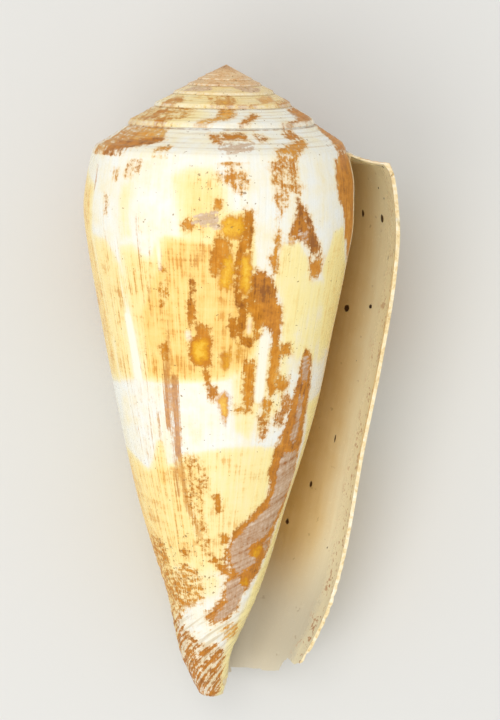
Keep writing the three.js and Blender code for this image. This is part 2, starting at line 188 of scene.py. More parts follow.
# Ragged brown layer: tone from 0 ochre to 1 dark, fullness, outline
BROWN_AREAS = [
    (0.3, 0.52, [(274.7, 9.1), (277.5, 8.8), (281.5, 8.9), (286.1, 8.9), (287.8, 9.6), (286.7, 10.3),
        (284.4, 10.8), (282.4, 10.1), (279.8, 9.9), (277.6, 9.6), (275.5, 9.5)]),
    (0.3, 0.55, [(276.4, 7.6), (280.5, 7.8), (285.3, 7.6), (287.5, 7.9), (281.5, 8.3), (276.6, 8.2)]),
    (0.34, 0.46, [(299.4, 7.3), (304.9, 7.2), (307.4, 7.7), (312.2, 7.7), (309.3, 8.2), (311.3, 9),
        (309.5, 9.8), (312.6, 10.2), (311.9, 10.8), (306.9, 10.6), (303.5, 10.9), (300.8, 10.4),
        (298.9, 9.6), (300.8, 8.9), (297.3, 8.6), (301.7, 8.1), (298.4, 7.9)]),
    (0.3, 0.46, [(301.7, 10.7), (305.9, 10.7), (305.8, 11.4), (304.2, 12), (303.1, 12.7), (301.7, 13),
        (301.3, 11.9), (299.6, 11.3)]),
    (0.3, 0.62, [(301, 14), (302.4, 14.5), (303.2, 15.6), (301.5, 16), (302.5, 17.1), (302.5, 18.1),
        (301, 18.3), (299.7, 17.2), (298.6, 16.7), (300.8, 15.6), (300.7, 14.8)]),
    # Flecks below the shoulder on the left
    (0.5, 0.4, [(234.2, 8.3), (238.4, 8.2), (238.5, 9), (233.6, 9.9), (231.2, 9.6)]),
    (0.2, 0.5, [(224.4, 9.3), (226.6, 9.3), (226.6, 10), (224.4, 10)]),
    (0.7, 0.5, [(219.4, 11.8), (220.6, 11.8), (221, 13.4), (220, 13.4)]),
    # Dark wedge right of the middle
    (0.8, 1, [(310.5, 11.3), (313.5, 12), (316.5, 13), (319, 14), (321, 15), (323.5, 15.8),
        (325.2, 16.6), (321.5, 16.6), (318.6, 16.2), (317.2, 15.2), (316, 14), (313.6, 13.2),
        (311, 13.6), (309.6, 13.2)]),
    (0.62, 0.8, [(309.6, 13), (314, 13.2), (317, 14.6), (318, 15.8), (314, 15.2), (310, 14.9),
        (307, 14.6)]),
    (0.4, 0.72, [(318.6, 16.8), (321, 17.4), (323, 17), (326.6, 16.9), (327.2, 18), (325.6, 18.8),
        (321, 18.9), (319.6, 18)]),
    # Dark middle and the strips above and below it
    (0.72, 1, [(290.6, 18.6), (292.6, 17.7), (296, 18), (300, 18.4), (302, 19.4), (303, 20.4),
        (300, 21.2), (293, 20.8), (287, 21.4), (285.6, 21), (287.6, 20.5), (290.4, 20)]),
    (0.5, 0.95, [(289, 21), (302, 20.4), (306.4, 21.2), (307.6, 22.6), (307, 24), (304.4, 23.9),
        (301, 23.2), (298, 23), (296.8, 23.6), (296.6, 24.4), (293.4, 24.6), (294, 22.4), (289, 21.6)]),
    (0.6, 0.8, [(287, 24), (294, 24.3), (296.6, 24.3), (293, 25), (288, 24.8)]),
    (0.55, 0.8, [(286.6, 21.4), (289.4, 21.4), (289, 23), (288.6, 24.6), (286.8, 24), (285.8, 22.6)]),
    (0.6, 0.9, [(286.8, 12.2), (290.4, 12.4), (289.8, 14.4), (289.2, 16), (286.8, 16.2), (285.4, 17.6),
        (285, 19.6), (287.6, 20.8), (284.6, 20.8), (283.4, 18.4), (283.6, 16.2), (285, 15.2),
        (286.6, 14)]),
    (0.45, 0.74, [(273.5, 16.4), (275, 14.9), (278.5, 14.7), (281.6, 15.4), (280.4, 17), (278, 17.4),
        (276, 18.4), (273, 18.5), (272.4, 17.6)]),
    (0.6, 0.66, [(281.6, 22), (284, 22.2), (286.4, 23.3), (286, 24.4), (283, 24), (281.4, 23)]),
    (0.36, 0.95, [(290.8, 26.5), (295.8, 26.3), (295.9, 29.5), (295.2, 31.3), (292.6, 31.3), (292, 30.6),
        (290.2, 29.8), (290.3, 27)]),
    (0.36, 0.8, [(287, 30.8), (293, 30.6), (293, 31.3), (287, 31.3)]),
    (0.36, 0.9, [(303.6, 23), (306.6, 23.4), (306.4, 25), (309.4, 25.2), (309.4, 27.5), (310, 28),
        (309, 29), (306.4, 30), (307.6, 30.9), (305, 31), (303.8, 29), (303.4, 26.2), (303.8, 25)]),
    (0.4, 0.72, [(309, 24.9), (314.6, 25), (315.6, 26), (313, 26), (309, 25.9)]),
    (0.36, 0.72, [(309.5, 27.6), (313, 28.2), (316.5, 28.2), (316, 29.2), (313, 29.5), (309, 29.2)]),
    (0.3, 0.6, [(301.6, 30), (307, 30), (307, 31.8), (302, 31.9)]),
    (0.5, 0.56, [(313, 29.8), (318, 30), (322, 30.6), (321, 31.6), (315, 31.4)]),
    (0.55, 0.52, [(301, 31.9), (307, 32), (307, 34), (303, 34)]),
    (0.6, 0.52, [(311, 31.6), (318, 31.5), (317, 32.6), (312, 32.6)]),
    # Marks left of the middle
    (0.7, 0.9, [(263.6, 18.9), (265.8, 18.6), (265.6, 20.2), (263.8, 20.3)]),
    (0.6, 0.85, [(261.5, 20.9), (266, 20.7), (266.4, 21.8), (265.8, 22.9), (263, 23.3), (261.4, 22.4),
        (262.6, 21.7)]),
    (0.5, 0.68, [(266.6, 22.6), (270, 23), (273.3, 23.2), (273.8, 25), (273, 26.8), (270.6, 27.1),
        (262.8, 26.6), (262, 25.2), (263, 24.2), (267, 24)]),
    (0.5, 0.75, [(273, 28.8), (276, 28.9), (276.2, 29.7), (274.8, 30.2), (272.4, 30)]),
    (0.4, 0.6, [(270, 27.4), (272.4, 27.4), (272, 28.8), (270.4, 28.4)]),
    (0.45, 0.75, [(276, 39.6), (278, 39.2), (280, 39.6), (281.4, 41), (278.6, 41.1), (277, 40.4)]),
    (0.3, 0.7, [(274, 11.4), (277, 11.4), (277, 12.2), (274, 12.2)]),
    (0.3, 0.66, [(260.5, 13.7), (264, 13.2), (267, 13.9), (263, 14.3)]),
    (0.4, 0.6, [(248.6, 19.4), (253, 19.2), (253, 20.4), (249.4, 21.6)]),
    (0.4, 0.62, [(246, 25.4), (250.6, 24.8), (250.6, 26.8), (248, 26.8), (246.4, 26.2)]),
    (0.35, 0.6, [(250, 17.6), (253, 17.4), (253, 18.2), (250.6, 18.2)]),
    # Long strip beside the mouth
    (0.56, 0.94, [(325.5, 25.6), (329, 25.8), (331.8, 27), (334.2, 28.9), (336.1, 30.3), (336.6, 32.2),
        (340.5, 34.5), (341.6, 36.4), (344.9, 38.3), (345.1, 40.1), (343, 41.7), (337, 43),
        (337.5, 44.9), (331.3, 46.3), (326.5, 47.8), (316.8, 48.9), (309.9, 49.9), (309.3, 51),
        (294, 51.9), (277.7, 52.3), (264.2, 51.8), (274.7, 51), (287.8, 49.8), (288.4, 48.1),
        (294.5, 46.9), (288.2, 45.5), (290.1, 43.7), (298.3, 42.3), (308.2, 41.2), (317, 39.9),
        (317.5, 38.6), (313.6, 37.3), (315.1, 35.4), (317, 34), (320.1, 32.5), (320.5, 31.2),
        (321.9, 30), (323.8, 28.6), (324, 26.6)]),
    (0.4, 0.66, [(281.5, 43.4), (288, 43.3), (289, 44.2), (283, 44.2)]),
    (0.6, 0.7, [(284, 45), (290, 44.6), (289.5, 45.6), (285.5, 45.8)]),
    (0.4, 0.6, [(276, 45.6), (281, 46.2), (294, 46.8), (297, 47.7), (286, 47.4), (277, 46.3)]),
    # Patch beside the upper end of the mouth
    (0.42, 1, [(343, 7), (338, 8.3), (335.4, 9.6), (335, 10.8), (337.6, 11.9), (341, 12.5),
        (342.8, 13.9), (344, 15.4), (348, 16), (352, 17), (360, 18), (360, 8), (352, 6.6)]),
    # Flecks low on the left and at the tip
    (0.35, 0.5, [(190, 44.5), (222, 44.5), (224, 48), (245, 46.6), (262, 47.4), (264, 50), (240, 51),
        (215, 52), (190, 52)]),
    (0.62, 0.62, [(244.6, 44.8), (251.5, 45.2), (250, 46), (245.4, 45.7)]),
    (0.45, 0.44, [(256, 35.6), (268, 36), (271, 38), (266, 41), (270, 43.4), (274, 46), (262, 44),
        (256, 40)]),
    (0.68, 0.54, [(180, 51.8), (212, 52.4), (236, 54.2), (262, 54.8), (290, 55), (303, 56), (300, 60),
        (180, 60)]),
    (0.5, 0.42, [(180, 46), (206, 46), (222, 50), (214, 53), (180, 53)]),
    (0.1, 0.5, [(300, 52.8), (318, 52.6), (322, 53.4), (312, 54), (300, 54)]),
]

# Thin brown lines: strength, width in mm, points
BROWN_LINES = [
    (0.5, 0.4, [(301.8, 12.6), (301.2, 14.2)]),
    (1, 0.5, [(249.6, 25.6), (249, 28), (248.4, 30.6), (247.8, 33)]),
    (0.8, 0.4, [(249.8, 33.4), (249.4, 39.6)]),
    (1, 0.68, [(253.6, 28.3), (253.2, 32), (252.8, 35.6)]),
    (0.9, 0.46, [(252.8, 35.6), (254.8, 37), (255.4, 40), (257, 41.2), (261, 42), (264, 43.6)]),
    (0.8, 0.3, [(252.6, 22.8), (251.6, 25), (251.2, 27.6)]),
    (0.5, 0.36, [(227, 24), (227.4, 28), (228.2, 31), (227, 33.4)]),
    (0.5, 0.5, [(231, 17), (232, 20.6)]),
    (0.6, 0.36, [(240, 13.4), (240.6, 16.6), (237, 18.4)]),
    (0.55, 0.36, [(240.6, 17), (240.4, 21)]),
    (0.5, 0.4, [(236.6, 22.5), (236.8, 26.6), (236, 27.4)]),
    (0.55, 0.45, [(233.6, 36.6), (238, 35), (242.6, 31.6)]),
    (0.42, 0.35, [(242.6, 29), (242, 34)]),
    (0.42, 0.35, [(237.5, 29.6), (236.8, 32.6)]),
    (0.42, 0.3, [(243.4, 22), (242.6, 28)]),
    (0.6, 0.55, [(208.4, 9.4), (209.2, 10.6), (208.6, 11.4)]),
    (0.5, 0.5, [(222, 9.6), (226.4, 9.7)]),
    (0.55, 0.4, [(231.6, 9.7), (233, 9.1), (238, 8.3)]),
    (0.5, 0.36, [(219.4, 12.1), (221.6, 12.1)]),
    (0.5, 0.3, [(220.4, 12.9), (220.6, 13.8)]),
    (0.6, 0.4, [(247.4, 20.6), (248.2, 22.2)]),
    (0.42, 0.4, [(255.4, 10.8), (255.8, 11.8)]),
    (0.5, 0.3, [(231.2, 29.9), (233, 31.7), (234.5, 34.5)]),
    (0.5, 0.25, [(240.1, 30.6), (240.1, 34.5)]),
    (0.5, 0.25, [(236, 29), (236.6, 33)]),
    (0.55, 0.3, [(219.2, 13.2), (219.4, 16)]),
    (0.5, 0.35, [(228.8, 13), (229.6, 15)]),
    (0.6, 0.4, [(243.8, 17.3), (243.4, 21.1)]),
    (0.55, 0.4, [(237.3, 22), (237.5, 26)]),
    (0.5, 0.3, [(233.5, 22), (234, 27)]),
    (0.5, 0.3, [(222, 25), (224, 31), (226, 36)]),
    (0.45, 0.25, [(216.5, 19), (218, 26)]),
    (0.42, 0.35, [(225, 16.6), (225.2, 19)]),
    (0.5, 0.35, [(223, 37.6), (206, 39.6)]),
]

# Lilac ground showing inside the brown: strength, outline
LILAC_AREAS = [
    (0.75, [(325, 26.3), (329, 26.3), (332, 27.8), (332, 28.9), (327, 29), (324.6, 28)]),
    (0.7, [(325.5, 30), (331, 30), (332, 32), (334.6, 33.4), (333.6, 34.7), (327.6, 34.8), (324.6, 34),
        (327, 32.4)]),
    (1, [(323.6, 35.6), (338.2, 35.6), (343.6, 37.7), (342, 39.1), (342.4, 40.4), (337.6, 41.4),
        (336, 42.4), (327.6, 43.6), (321.1, 43.9), (309.6, 44.5), (310.2, 45.6), (322.9, 46.2),
        (311.9, 46.8), (301.4, 47.4), (292.4, 46), (291, 44.6), (298.6, 43.2), (308, 42.2), (319.6, 41),
        (323.4, 39.4), (321.4, 37.3)]),
    (0.9, [(324, 44.6), (333, 43.8), (335.4, 45), (331, 45.6)]),
    (1, [(290.8, 48.3), (301.8, 47.6), (307.8, 48.6), (314, 48.9), (309, 50), (307.2, 51.2), (291, 51.8),
        (276, 52.2), (284, 51.2), (293.6, 50.2), (290.6, 49.1)]),
    (0.62, [(265, 12.9), (270, 12.3), (275, 12.1), (277, 13.2), (277.4, 14.1), (272, 14), (268, 13.8),
        (264, 13.7)]),
    (0.7, [(311, 14.5), (314.5, 14.2), (317.5, 15), (314, 15.5)]),
]

# Fine dark specks: density, softness in mm, outline
SPECK_AREAS = [
    (1, 1.5, [(200, 44.5), (215, 43.5), (235, 44), (250, 41), (262, 42), (275, 45), (285, 46.5),
        (284, 49.5), (262, 50), (240, 50.5), (215, 53), (195, 53)]),
    (0.35, 1.5, [(212, 8), (262, 8), (262, 17), (230, 17)]),
    (0.8, 1, [(262, 8), (292, 8), (292, 15), (262, 15)]),
    (1, 0.4, [(256.4, 28.8), (259, 28.8), (259.6, 35.6), (256.8, 35.6)]),
    (0.9, 1, [(306, 24), (322, 24.5), (318, 33.5), (300, 33)]),
    (0.9, 0.8, [(252, 35.4), (271, 35.6), (268, 41), (254, 41)]),
    (0.9, 1, [(185, 51), (240, 55), (245, 60), (180, 60)]),
    (0.35, 3, [(160, 14), (352, 14), (350, 44), (160, 44)]),
]

# Pale streaks over everything: strength, width in mm, points
PALE_LINES = [
    (0.7, 0.4, [(226, 18.6), (227.6, 22)]),
    (1, 0.9, [(228, 23), (229, 26), (230, 28.6)]),
    (0.58, 1.1, [(262.1, 23.9), (262.3, 24.4)]),
    (0.8, 0.5, [(249.8, 15.4), (250.2, 18)]),
    (0.9, 1, [(299.5, 24.4), (299.5, 30)]),
    (0.62, 0.7, [(291.3, 22.4), (291.3, 23.6)]),
]

# Brown marks on the ramps of the spire: tone, fullness, outline
RAMP_BROWN_AREAS = [
    (0.25, 0.58, [(198, 0), (226, 0), (222, 0.95), (212, 1), (198, 1)]),
    (0.15, 0.62, [(222, 0), (242, 0), (242, 0.42), (222, 0.6)]),
    (0.68, 0.85, [(212, 0.66), (222, 0.55), (241, 0.36), (244, 0.55), (234, 0.8), (222, 1),
        (212, 1.05)]),
    (0.3, 0.6, [(245, 0.8), (251, 0.8), (252, 0.92), (246, 0.93)]),
    (0.55, 0.62, [(268, 0.25), (274, 0.27), (275, 0.62), (271, 0.62), (270, 0.47)]),
    (0.6, 0.75, [(276, 0.19), (288, 0.18), (288, 0.43), (281, 0.42), (276, 0.47)]),
    (0.7, 0.5, [(293, 0.21), (299, 0.2), (298, 0.45), (294, 0.46)]),
    (0.5, 0.6, [(312, 0.23), (322, 0), (319, 0.41), (315, 0.47), (312, 0.53)]),
    (0.25, 0.6, [(302, 0.89), (312, 0.63), (322, 0.45), (321, 0.71), (312, 1), (302, 1)]),
    (0.42, 0.85, [(352, 0.22), (365, 0.09), (365, 1), (342, 1), (346, 0.69)]),
    (0.12, 0.48, [(548, 0), (612, 0), (606, 0.66), (592, 1), (548, 1)]),
    (0.5, 0.64, [(576, 0.15), (588, 0), (586, 0.52), (580, 0.91), (574, 0.8)]),
    (0.4, 0.6, [(590, 0.53), (600, 0.65), (596, 0.99), (588, 1)]),
    (0.15, 0.7, [(621, 0.77), (630, 0.57), (632, 0.37), (636, 0), (645, 0), (643, 0.37), (638, 0.62),
        (630, 0.82), (625, 1), (620, 1)]),
    (0.3, 0.6, [(635, 0), (646, 0), (642, 0.47), (636, 0.67), (633, 0.47)]),
    (0.5, 0.68, [(655, 0.4), (661, 0.35), (657, 0.6), (651, 0.91), (647, 0.96), (650, 0.66)]),
    (0.6, 0.56, [(676, 1), (690, 0.83), (694, 0.92), (684, 1)]),
    (0.5, 0.74, [(697, 0.17), (720, 0), (722, 0.79), (706, 0.94), (690, 0.93), (696, 0.57)]),
    (0.35, 0.6, [(930, 0.18), (945, 0.22), (955, 0.74), (950, 1), (932, 0.99)]),
    (0.2, 0.5, [(980, 0.22), (1002, 0), (1006, 0.6), (1000, 1), (986, 1)]),
    (0.6, 0.62, [(1000, 0.97), (1026, 0.89), (1024, 1), (1002, 1)]),
    (0.6, 0.6, [(1050, 0.83), (1084, 0.69), (1084, 1), (1050, 1)]),
]
RAMP_AMBER_AREAS = [
    (0.6, [(988, 0.27), (1002, 0.22), (1000, 0.97), (988, 0.97)]),
    (0.75, [(1030, 0.23), (1056, 0.12), (1050, 0.69), (1030, 0.93)]),
]
RAMP_LILAC_AREAS = [
    (0.56, [(273, 0.5), (282, 0.4), (293, 0.5), (291, 1), (280, 1.05), (272, 0.9)]),
    (0.5, [(690, 0.25), (704, 0.1), (700, 0.8), (688, 0.9)]),
    (1, [(1304, 0.1), (1334, 0.05), (1338, 0.5), (1322, 0.75), (1300, 0.9), (1296, 0.6)]),
    (1, [(1368, 0.05), (1398, 0.02), (1412, 0.3), (1400, 0.9), (1380, 0.7)]),
    (0.8, [(1700, 0.1), (1740, 0), (1744, 0.6), (1704, 0.7)]),
]

# Stains and pits inside the lip: degrees, depth, half length along the depth, half width, strength
LIP_STAINS = [
    (41, 23.7, 0.34, 0.34, 1), (26.8, 23.1, 0.2, 0.26, 1), (37, 14.5, 0.4, 0.2, 0.8),
    (24, 14.6, 0.38, 0.3, 1), (4.6, 12.6, 0.3, 0.15, 0.8), (10.8, 9.3, 0.15, 0.3, 1),
    (9, 17.2, 0.3, 0.1, 0.8), (17, 18.1, 0.3, 0.1, 0.6), (25, 11.7, 0.12, 0.1, 0.9),
    (21, 12.6, 0.12, 0.1, 0.8), (34, 36, 0.4, 0.14, 0.75), (44, 40.7, 0.4, 0.22, 0.7),
    (54, 44.5, 0.35, 0.35, 0.7), (24, 46.2, 0.14, 0.14, 0.6), (5.4, 27.3, 1.3, 0.2, 0.6),
    (10, 42.5, 0.3, 0.14, 0.5), (5, 37, 0.5, 0.2, 0.35), (30, 28.4, 0.15, 0.15, 0.35),
]

# Fineness of the surface
COLUMNS = 256
RAMP_SHARES = np.array([
    0, 0.05, 0.12, 0.2, 0.28, 0.36, 0.44, 0.52, 0.6, 0.68, 0.76, 0.84, 0.91, 0.97, 1,
])
STEP_SHARES = np.array([0.25, 0.6])
LAST_STEP_SHARE = 0.85
ROWS_PER_WHORL = len(RAMP_SHARES) + len(STEP_SHARES)
LAST_RAMP_ROW = ROWS_PER_WHORL * INNER_WHORLS
FIRST_WALL_ROW = LAST_RAMP_ROW + ROWS_PER_WHORL
WALL_ROWS = 150
WALL_ROW_CROWDING = 1.12
WALL_START = 0.018
LAST_SHARE = 0.995
FAN_ROWS = 24
# Where the wall has left the suture beside the mouth, in turns
WALL_FREE_FROM = -0.97
TIP_BULGE = 0.5
TIP_ROWS = (0.35, 0.62, 0.82, 0.95)
HOLLOW_COLUMNS = 200
HOLLOW_ROW_COUNT = 56
HOLLOW_ROW_START = 0.012
HOLLOW_ROW_CROWDING = 1.15
ROOF_SHARES = np.array([0.12, 0.3, 0.5, 0.7, 0.88])
CUT_LEVELS = 100
CUT_STEP = 0.22

# What kind of surface a face belongs to
OUTER_ZONE = 0
INNER_ZONE = 1
EDGE_ZONE = 2

# Share written on rows that aren't on a ramp
WALL_ROW = -1
# How much of the ramp share is added to the kind of surface, for the colour of the threads
SHARE_MARK = 0.3
STAIN_COLUMNS = 9


def smooth(start, end, value):
    share = np.clip((value - start) / (end - start), 0, 1)
    return share * share * (3 - 2 * share)


def band(start, full, fading, end, value):
    """1 between the middle two places, 0 outside the outer two."""
    return smooth(start, full, value) * smooth(end, fading, value)


def mixed(first, second, share):
    return first + (second - first) * share


def mixed_point(first, second, share):
    return tuple(mixed(a, b, share) for a, b in zip(first, second))


def rotated(first, second, angle):
    """Two coordinates after a turn from the first axis towards the second."""
    sine, cosine = math.sin(angle), math.cos(angle)
    return first * cosine - second * sine, first * sine + second * cosine


def along(points, place):
    """Smooth curve through (place, value) points without overshoot."""
    x, y = np.array(points, float).T
    place = np.clip(place, x[0], x[-1])
    rise = np.diff(y) / np.diff(x)
    before, after = rise[:-1], rise[1:]
    both = before * after
    slope = np.concatenate([rise[:1], np.zeros(len(x) - 2), rise[-1:]])
    same_way = both > 0
    slope[1:-1][same_way] = 2 * both[same_way] / (before + after)[same_way]
    i = np.clip(np.searchsorted(x, place) - 1, 0, len(x) - 2)
    span = x[i + 1] - x[i]
    u = (place - x[i]) / span
    v = 1 - u
    return (
        y[i] * v * v * (1 + 2 * u)
        + y[i + 1] * u * u * (1 + 2 * v)
        + slope[i] * span * u * v * v
        - slope[i + 1] * span * v * u * u
    )


def noise_1d(place, seed):
    """Smooth noise from -1 to 1 along a line, the same every run."""
    size = 4096
    table = np.random.default_rng(seed).uniform(-1, 1, size)
    cell = np.floor(place).astype(int)
    return mixed(table[cell % size], table[(cell + 1) % size], smooth(0, 1, place - cell))


def noise_2d(x, y, seed):
    """Smooth noise from -1 to 1 over a plane, the same every run."""
    size = 256
    table = np.random.default_rng(seed).uniform(-1, 1, (size, size))
    i, j = np.floor(x).astype(int), np.floor(y).astype(int)
    u, v = smooth(0, 1, x - i), smooth(0, 1, y - j)
    i, j, i1, j1 = i % size, j % size, (i + 1) % size, (j + 1) % size
    return mixed(mixed(table[i, j], table[i1, j], u), mixed(table[i, j1], table[i1, j1], u), v)


def shoulder_radius(turn):
    swing = SIDE_SWING * (np.cos(FULL_TURN * turn) - 1)
    return LIP_SHOULDER_RADIUS * np.exp(GROWTH_PER_TURN * turn + swing)


def shoulder_depth(turn):
    r = shoulder_radius(turn)
    raised = LIP_LIFT * smooth(LIP_LIFT_START, 0, turn)
    raised += LIP_FLARE * smooth(LIP_FLARE_START, 0, turn)
    tilted = SPIRE_TILT * r * np.sin(FULL_TURN * turn)
    return SPIRE_SLOPE * r + SPIRE_CURVE * r * r - raised - tilted


def suture_point(turn):
    """Start of a whorl's ramp, just under the shoulder edge one turn earlier."""
    r = shoulder_radius(turn - 1)
    return r + SUTURE_SET_BACK, shoulder_depth(turn - 1) + SUTURE_DROP_SHARE * r


def ramp_point(turn, share):
    r0, a0 = suture_point(turn)
    r1, a1 = shoulder_radius(turn), shoulder_depth(turn)
    sag = mixed(RAMP_SAG_SPIRE, RAMP_SAG_LIP, smooth(LIP_LIFT_START, 0, turn))
    return mixed(r0, r1, share), mixed(a0, a1, share) + sag * np.sin(np.pi * share)


def narrowing(wall, share):
    """How a measured side narrows below the shoulder, as a natural logarithm."""
    return np.log(along(wall, share) / wall[0][1])


def round_radius(turn, share):
    """Side wall of the last whorl: blends the three measured sides round the turn."""
    right, left, lip = (narrowing(wall, share) for wall in (RIGHT_WALL, LEFT_WALL, LIP_WALL))
    trend = lip - right
    swing = (lip - trend / 2 - left) / 2
    shape = lip + trend * turn + swing * (np.cos(FULL_TURN * turn) - 1)
    return shoulder_radius(turn) * np.exp(shape)


def back_level(share):
    """Distance from the axis to the soft flat on the back."""
    leans = np.arange(BACK_LEAN_STEPS + 1) * BACK_LEAN_STEP
    levels = [round_radius(BACK_TURN + lean, share) * np.cos(FULL_TURN * lean) for lean in leans]
    return np.max(levels, axis=0) * (1 - BACK_FLATTENING)


def wall_radius(turn, share):
    round_one = round_radius(turn, share)
    facing = np.cos(FULL_TURN * (turn - BACK_TURN))
    excess = np.maximum(round_one * facing / back_level(share), 0)
    return round_one * (1 + excess**BACK_HARDNESS) ** (-1 / BACK_HARDNESS)


def place(radius, depth, turn):
    angle = FULL_TURN * turn
    return np.stack([radius * np.cos(angle), -depth + 0 * angle, radius * np.sin(angle)], -1)


def settle(points):
    """Turns the shell to the way it lies, sets it on the ground and goes over to metres."""
    x, y, z = points.T
    x, z = rotated(x, z, REST_ROLL)
    y, z = rotated(y, z, REST_PITCH)
    return (np.stack([x, y, z], -1) + REST_SHIFT) * MM


# Width in millimetres over which a mark's strength falls from 1 to 0
BROWN_REACH = 1.4
LINE_REACH = 0.9
LILAC_REACH = 0.9
AMBER_REACH = 1.1
# Tone of the brown layer outside its marks
PLAIN_TONE = 0.35


def distance_to_edge(start, end, spot):
    x, y, x_size, y_size = spot
    px, py = (x - start[0]) * x_size, (y - start[1]) * y_size
    dx, dy = (end[0] - start[0]) * x_size, (end[1] - start[1]) * y_size
    share = np.clip((px * dx + py * dy) / np.maximum(dx * dx + dy * dy, 1e-9), 0, 1)
    return np.hypot(px - share * dx, py - share * dy)


def distance_in_line(points, width, spot):
    """Distance to the edge of a line of that width in millimetres, positive inside it."""
    edges = [distance_to_edge(start, end, spot) for start, end in zip(points, points[1:])]
    return width / 2 - np.min(edges, axis=0)


def distance_inside(outline, spot):
    """Distance to a closed outline in millimetres, positive inside it."""
    x, y = spot[:2]
    closed = outline + outline[:1]
    inside = np.zeros(x.shape, bool)
    for (x0, y0), (x1, y1) in zip(closed, closed[1:]):
        if y0 != y1:
            crossed = (y0 > y) != (y1 > y)
            inside ^= crossed & (x < x0 + (y - y0) * (x1 - x0) / (y1 - y0))
    outside = distance_in_line(closed, 0, spot)
    return np.where(inside, -outside, outside)


def ragged(distance, reach, fullness=1):
    """0.5 on a mark's outline, more inside it, less outside."""
    return np.clip(0.5 + distance / reach, 0, fullness)


def soft_layer(areas, spot):
    """Stains with an edge that fades over the softness given with each."""
    values = []
    for strength, soft, outline in areas:
        values.append(strength * smooth(-soft, soft, distance_inside(outline, spot)))
    return np.max(values, axis=0)


def ragged_layer(areas, reach, spot):
    values = [strength * ragged(distance_inside(outline, spot), reach) for strength, outline in areas]
    return np.max(values, axis=0)


def line_layer(lines, spot):
    values = []
    for strength, width, points in lines:
        values.append(strength * ragged(distance_in_line(points, width, spot), LINE_REACH))
    return np.max(values, axis=0)


def brown_layer(areas, spot):
    """How full the brown layer is, and its tone there."""
    full, tone = np.zeros(spot[0].shape), np.full(spot[0].shape, PLAIN_TONE)
    for own_tone, fullness, outline in areas:
        value = ragged(distance_inside(outline, spot), BROWN_REACH, fullness)
        tone = np.where(value > full, own_tone, tone)
        full = np.maximum(full, value)
    return full, tone


def wall_stains(angle, depth, degree_mm):
    """Colour marks on the side wall, one column each."""
    spot = (angle, depth, degree_mm, 1)
    hidden = smooth(*WALL_HIDDEN, angle)
    back_yellow, back_brown, back_tone = back_stains(angle, depth)
    yellow = np.maximum(soft_layer(YELLOW_AREAS, spot) * (1 - hidden), back_yellow * hidden)
    amber = ragged_layer(AMBER_AREAS, AMBER_REACH, spot)
    pale = line_layer(PALE_LINES, spot)
    brown, tone = brown_layer(BROWN_AREAS, spot)
    brown = np.maximum(brown * (1 - hidden), back_brown * hidden)
    tone = mixed(tone, back_tone, hidden)
    lilac = ragged_layer(LILAC_AREAS, LILAC_REACH, spot)
    left_streaks = LEFT_STREAKS_STRENGTH * band(*LEFT_STREAKS, angle) * smooth(12, 18, depth)
    streak = np.maximum(line_layer(BROWN_LINES, spot), left_streaks)
    speck = np.maximum(soft_layer(SPECK_AREAS, spot), 0.5 * hidden)
    return np.stack([yellow, amber, pale, brown, tone, lilac, streak, speck, 0 * angle], 1)


def back_stains(angle, depth):
    """Yellow bands and brown flames on the side that the photo doesn't show."""
    yellow_bands = band(13, 15, 28.5, 29.5, depth) + band(35.5, 37, 50, 54, depth)
    cloud = noise_2d(angle / 11, depth / 5, 51)
    yellow = np.clip(yellow_bands * (0.62 + 0.3 * cloud), 0, 1)
    flame = noise_2d(angle / 13, depth / 9, 52) + 0.55 * noise_2d(angle / 5, depth / 3.2, 53)
    brown_bands = band(7, 10, 24, 28.5, depth) + 0.9 * band(33, 37, 45, 50, depth)
    brown = np.clip(0.22 + 0.42 * brown_bands * (flame + 0.25), 0, 0.95)
    tone = np.clip(0.4 + 0.3 * noise_2d(angle / 8, depth / 4, 54), 0, 1)
    return yellow, brown, tone


def ramp_stains(angle, share, degree_mm, width):
    """Colour marks on the spire, one column each."""
    spot = (angle, share, degree_mm, width)
    amber = ragged_layer(RAMP_AMBER_AREAS, AMBER_REACH, spot)
    lilac = ragged_layer(RAMP_LILAC_AREAS, LILAC_REACH, spot)
    brown, tone = brown_layer(RAMP_BROWN_AREAS, spot)
    seen = smooth(*RAMP_SEEN, angle % DEGREES)
    flame = noise_2d(angle / 16, share * 1.5, 61) + 0.4 * noise_2d(angle / 5, share * 3, 62)
    brown = np.maximum(brown, (1 - seen) * np.clip(0.42 + 0.4 * flame, 0, 0.9))
    turns = angle / DEGREES
    old = 0.35 * smooth(2.4, 3.1, turns) + 0.65 * smooth(4.1, 4.7, turns)
    brown = np.maximum(brown, old * 0.42)
    tone = mixed(tone, 0.3, old)
    stained = 0.34 * band(480, 545, 600, 645, angle) + 0.36 * smooth(860, 940, angle)
    yellow = np.clip(0.06 + stained + 0.16 * noise_2d(angle / 20, share * 2, 63), 0, 1)
    blank = 0 * angle
    return np.stack([yellow, amber, blank, brown, tone, lilac, blank, blank + 0.5, old], 1)


def outer_stains(radius, depth, coil, share):
    angle = -DEGREES * coil
    degree_mm = radius * math.pi / 180
    ramp, wall = share >= 0, share < 0
    ramp_width = 0.27 * shoulder_radius(coil[ramp])
    stains = np.zeros((len(radius), STAIN_COLUMNS))
    stains[wall] = wall_stains(angle[wall], depth[wall], degree_mm[wall])
    stains[ramp] = ramp_stains(angle[ramp], share[ramp], degree_mm[ramp], ramp_width)
    return stains


def inside_stains(turn, depth):
    """Tan that darkens deeper into the hollow, partly the lining's own colour and partly painted shade;
    grey front end and the flaky zone at the lip, in the first columns.
    """
    angle = -DEGREES * turn
    # Darker further behind the lip and a little lighter low down: partly the lining's own colour, partly
    # painted shade of the hollow
    tan_and_shade = smooth(2, 56, angle) * (1 - 0.2 * smooth(40, 56, depth))
    base = smooth(44, 54, depth)
    edge = smooth(26, 9, angle) * (0.6 + 0.4 * smooth(14, 26, depth))
    return np.stack([tan_and_shade, base, edge] + [0 * angle] * 6, 1)


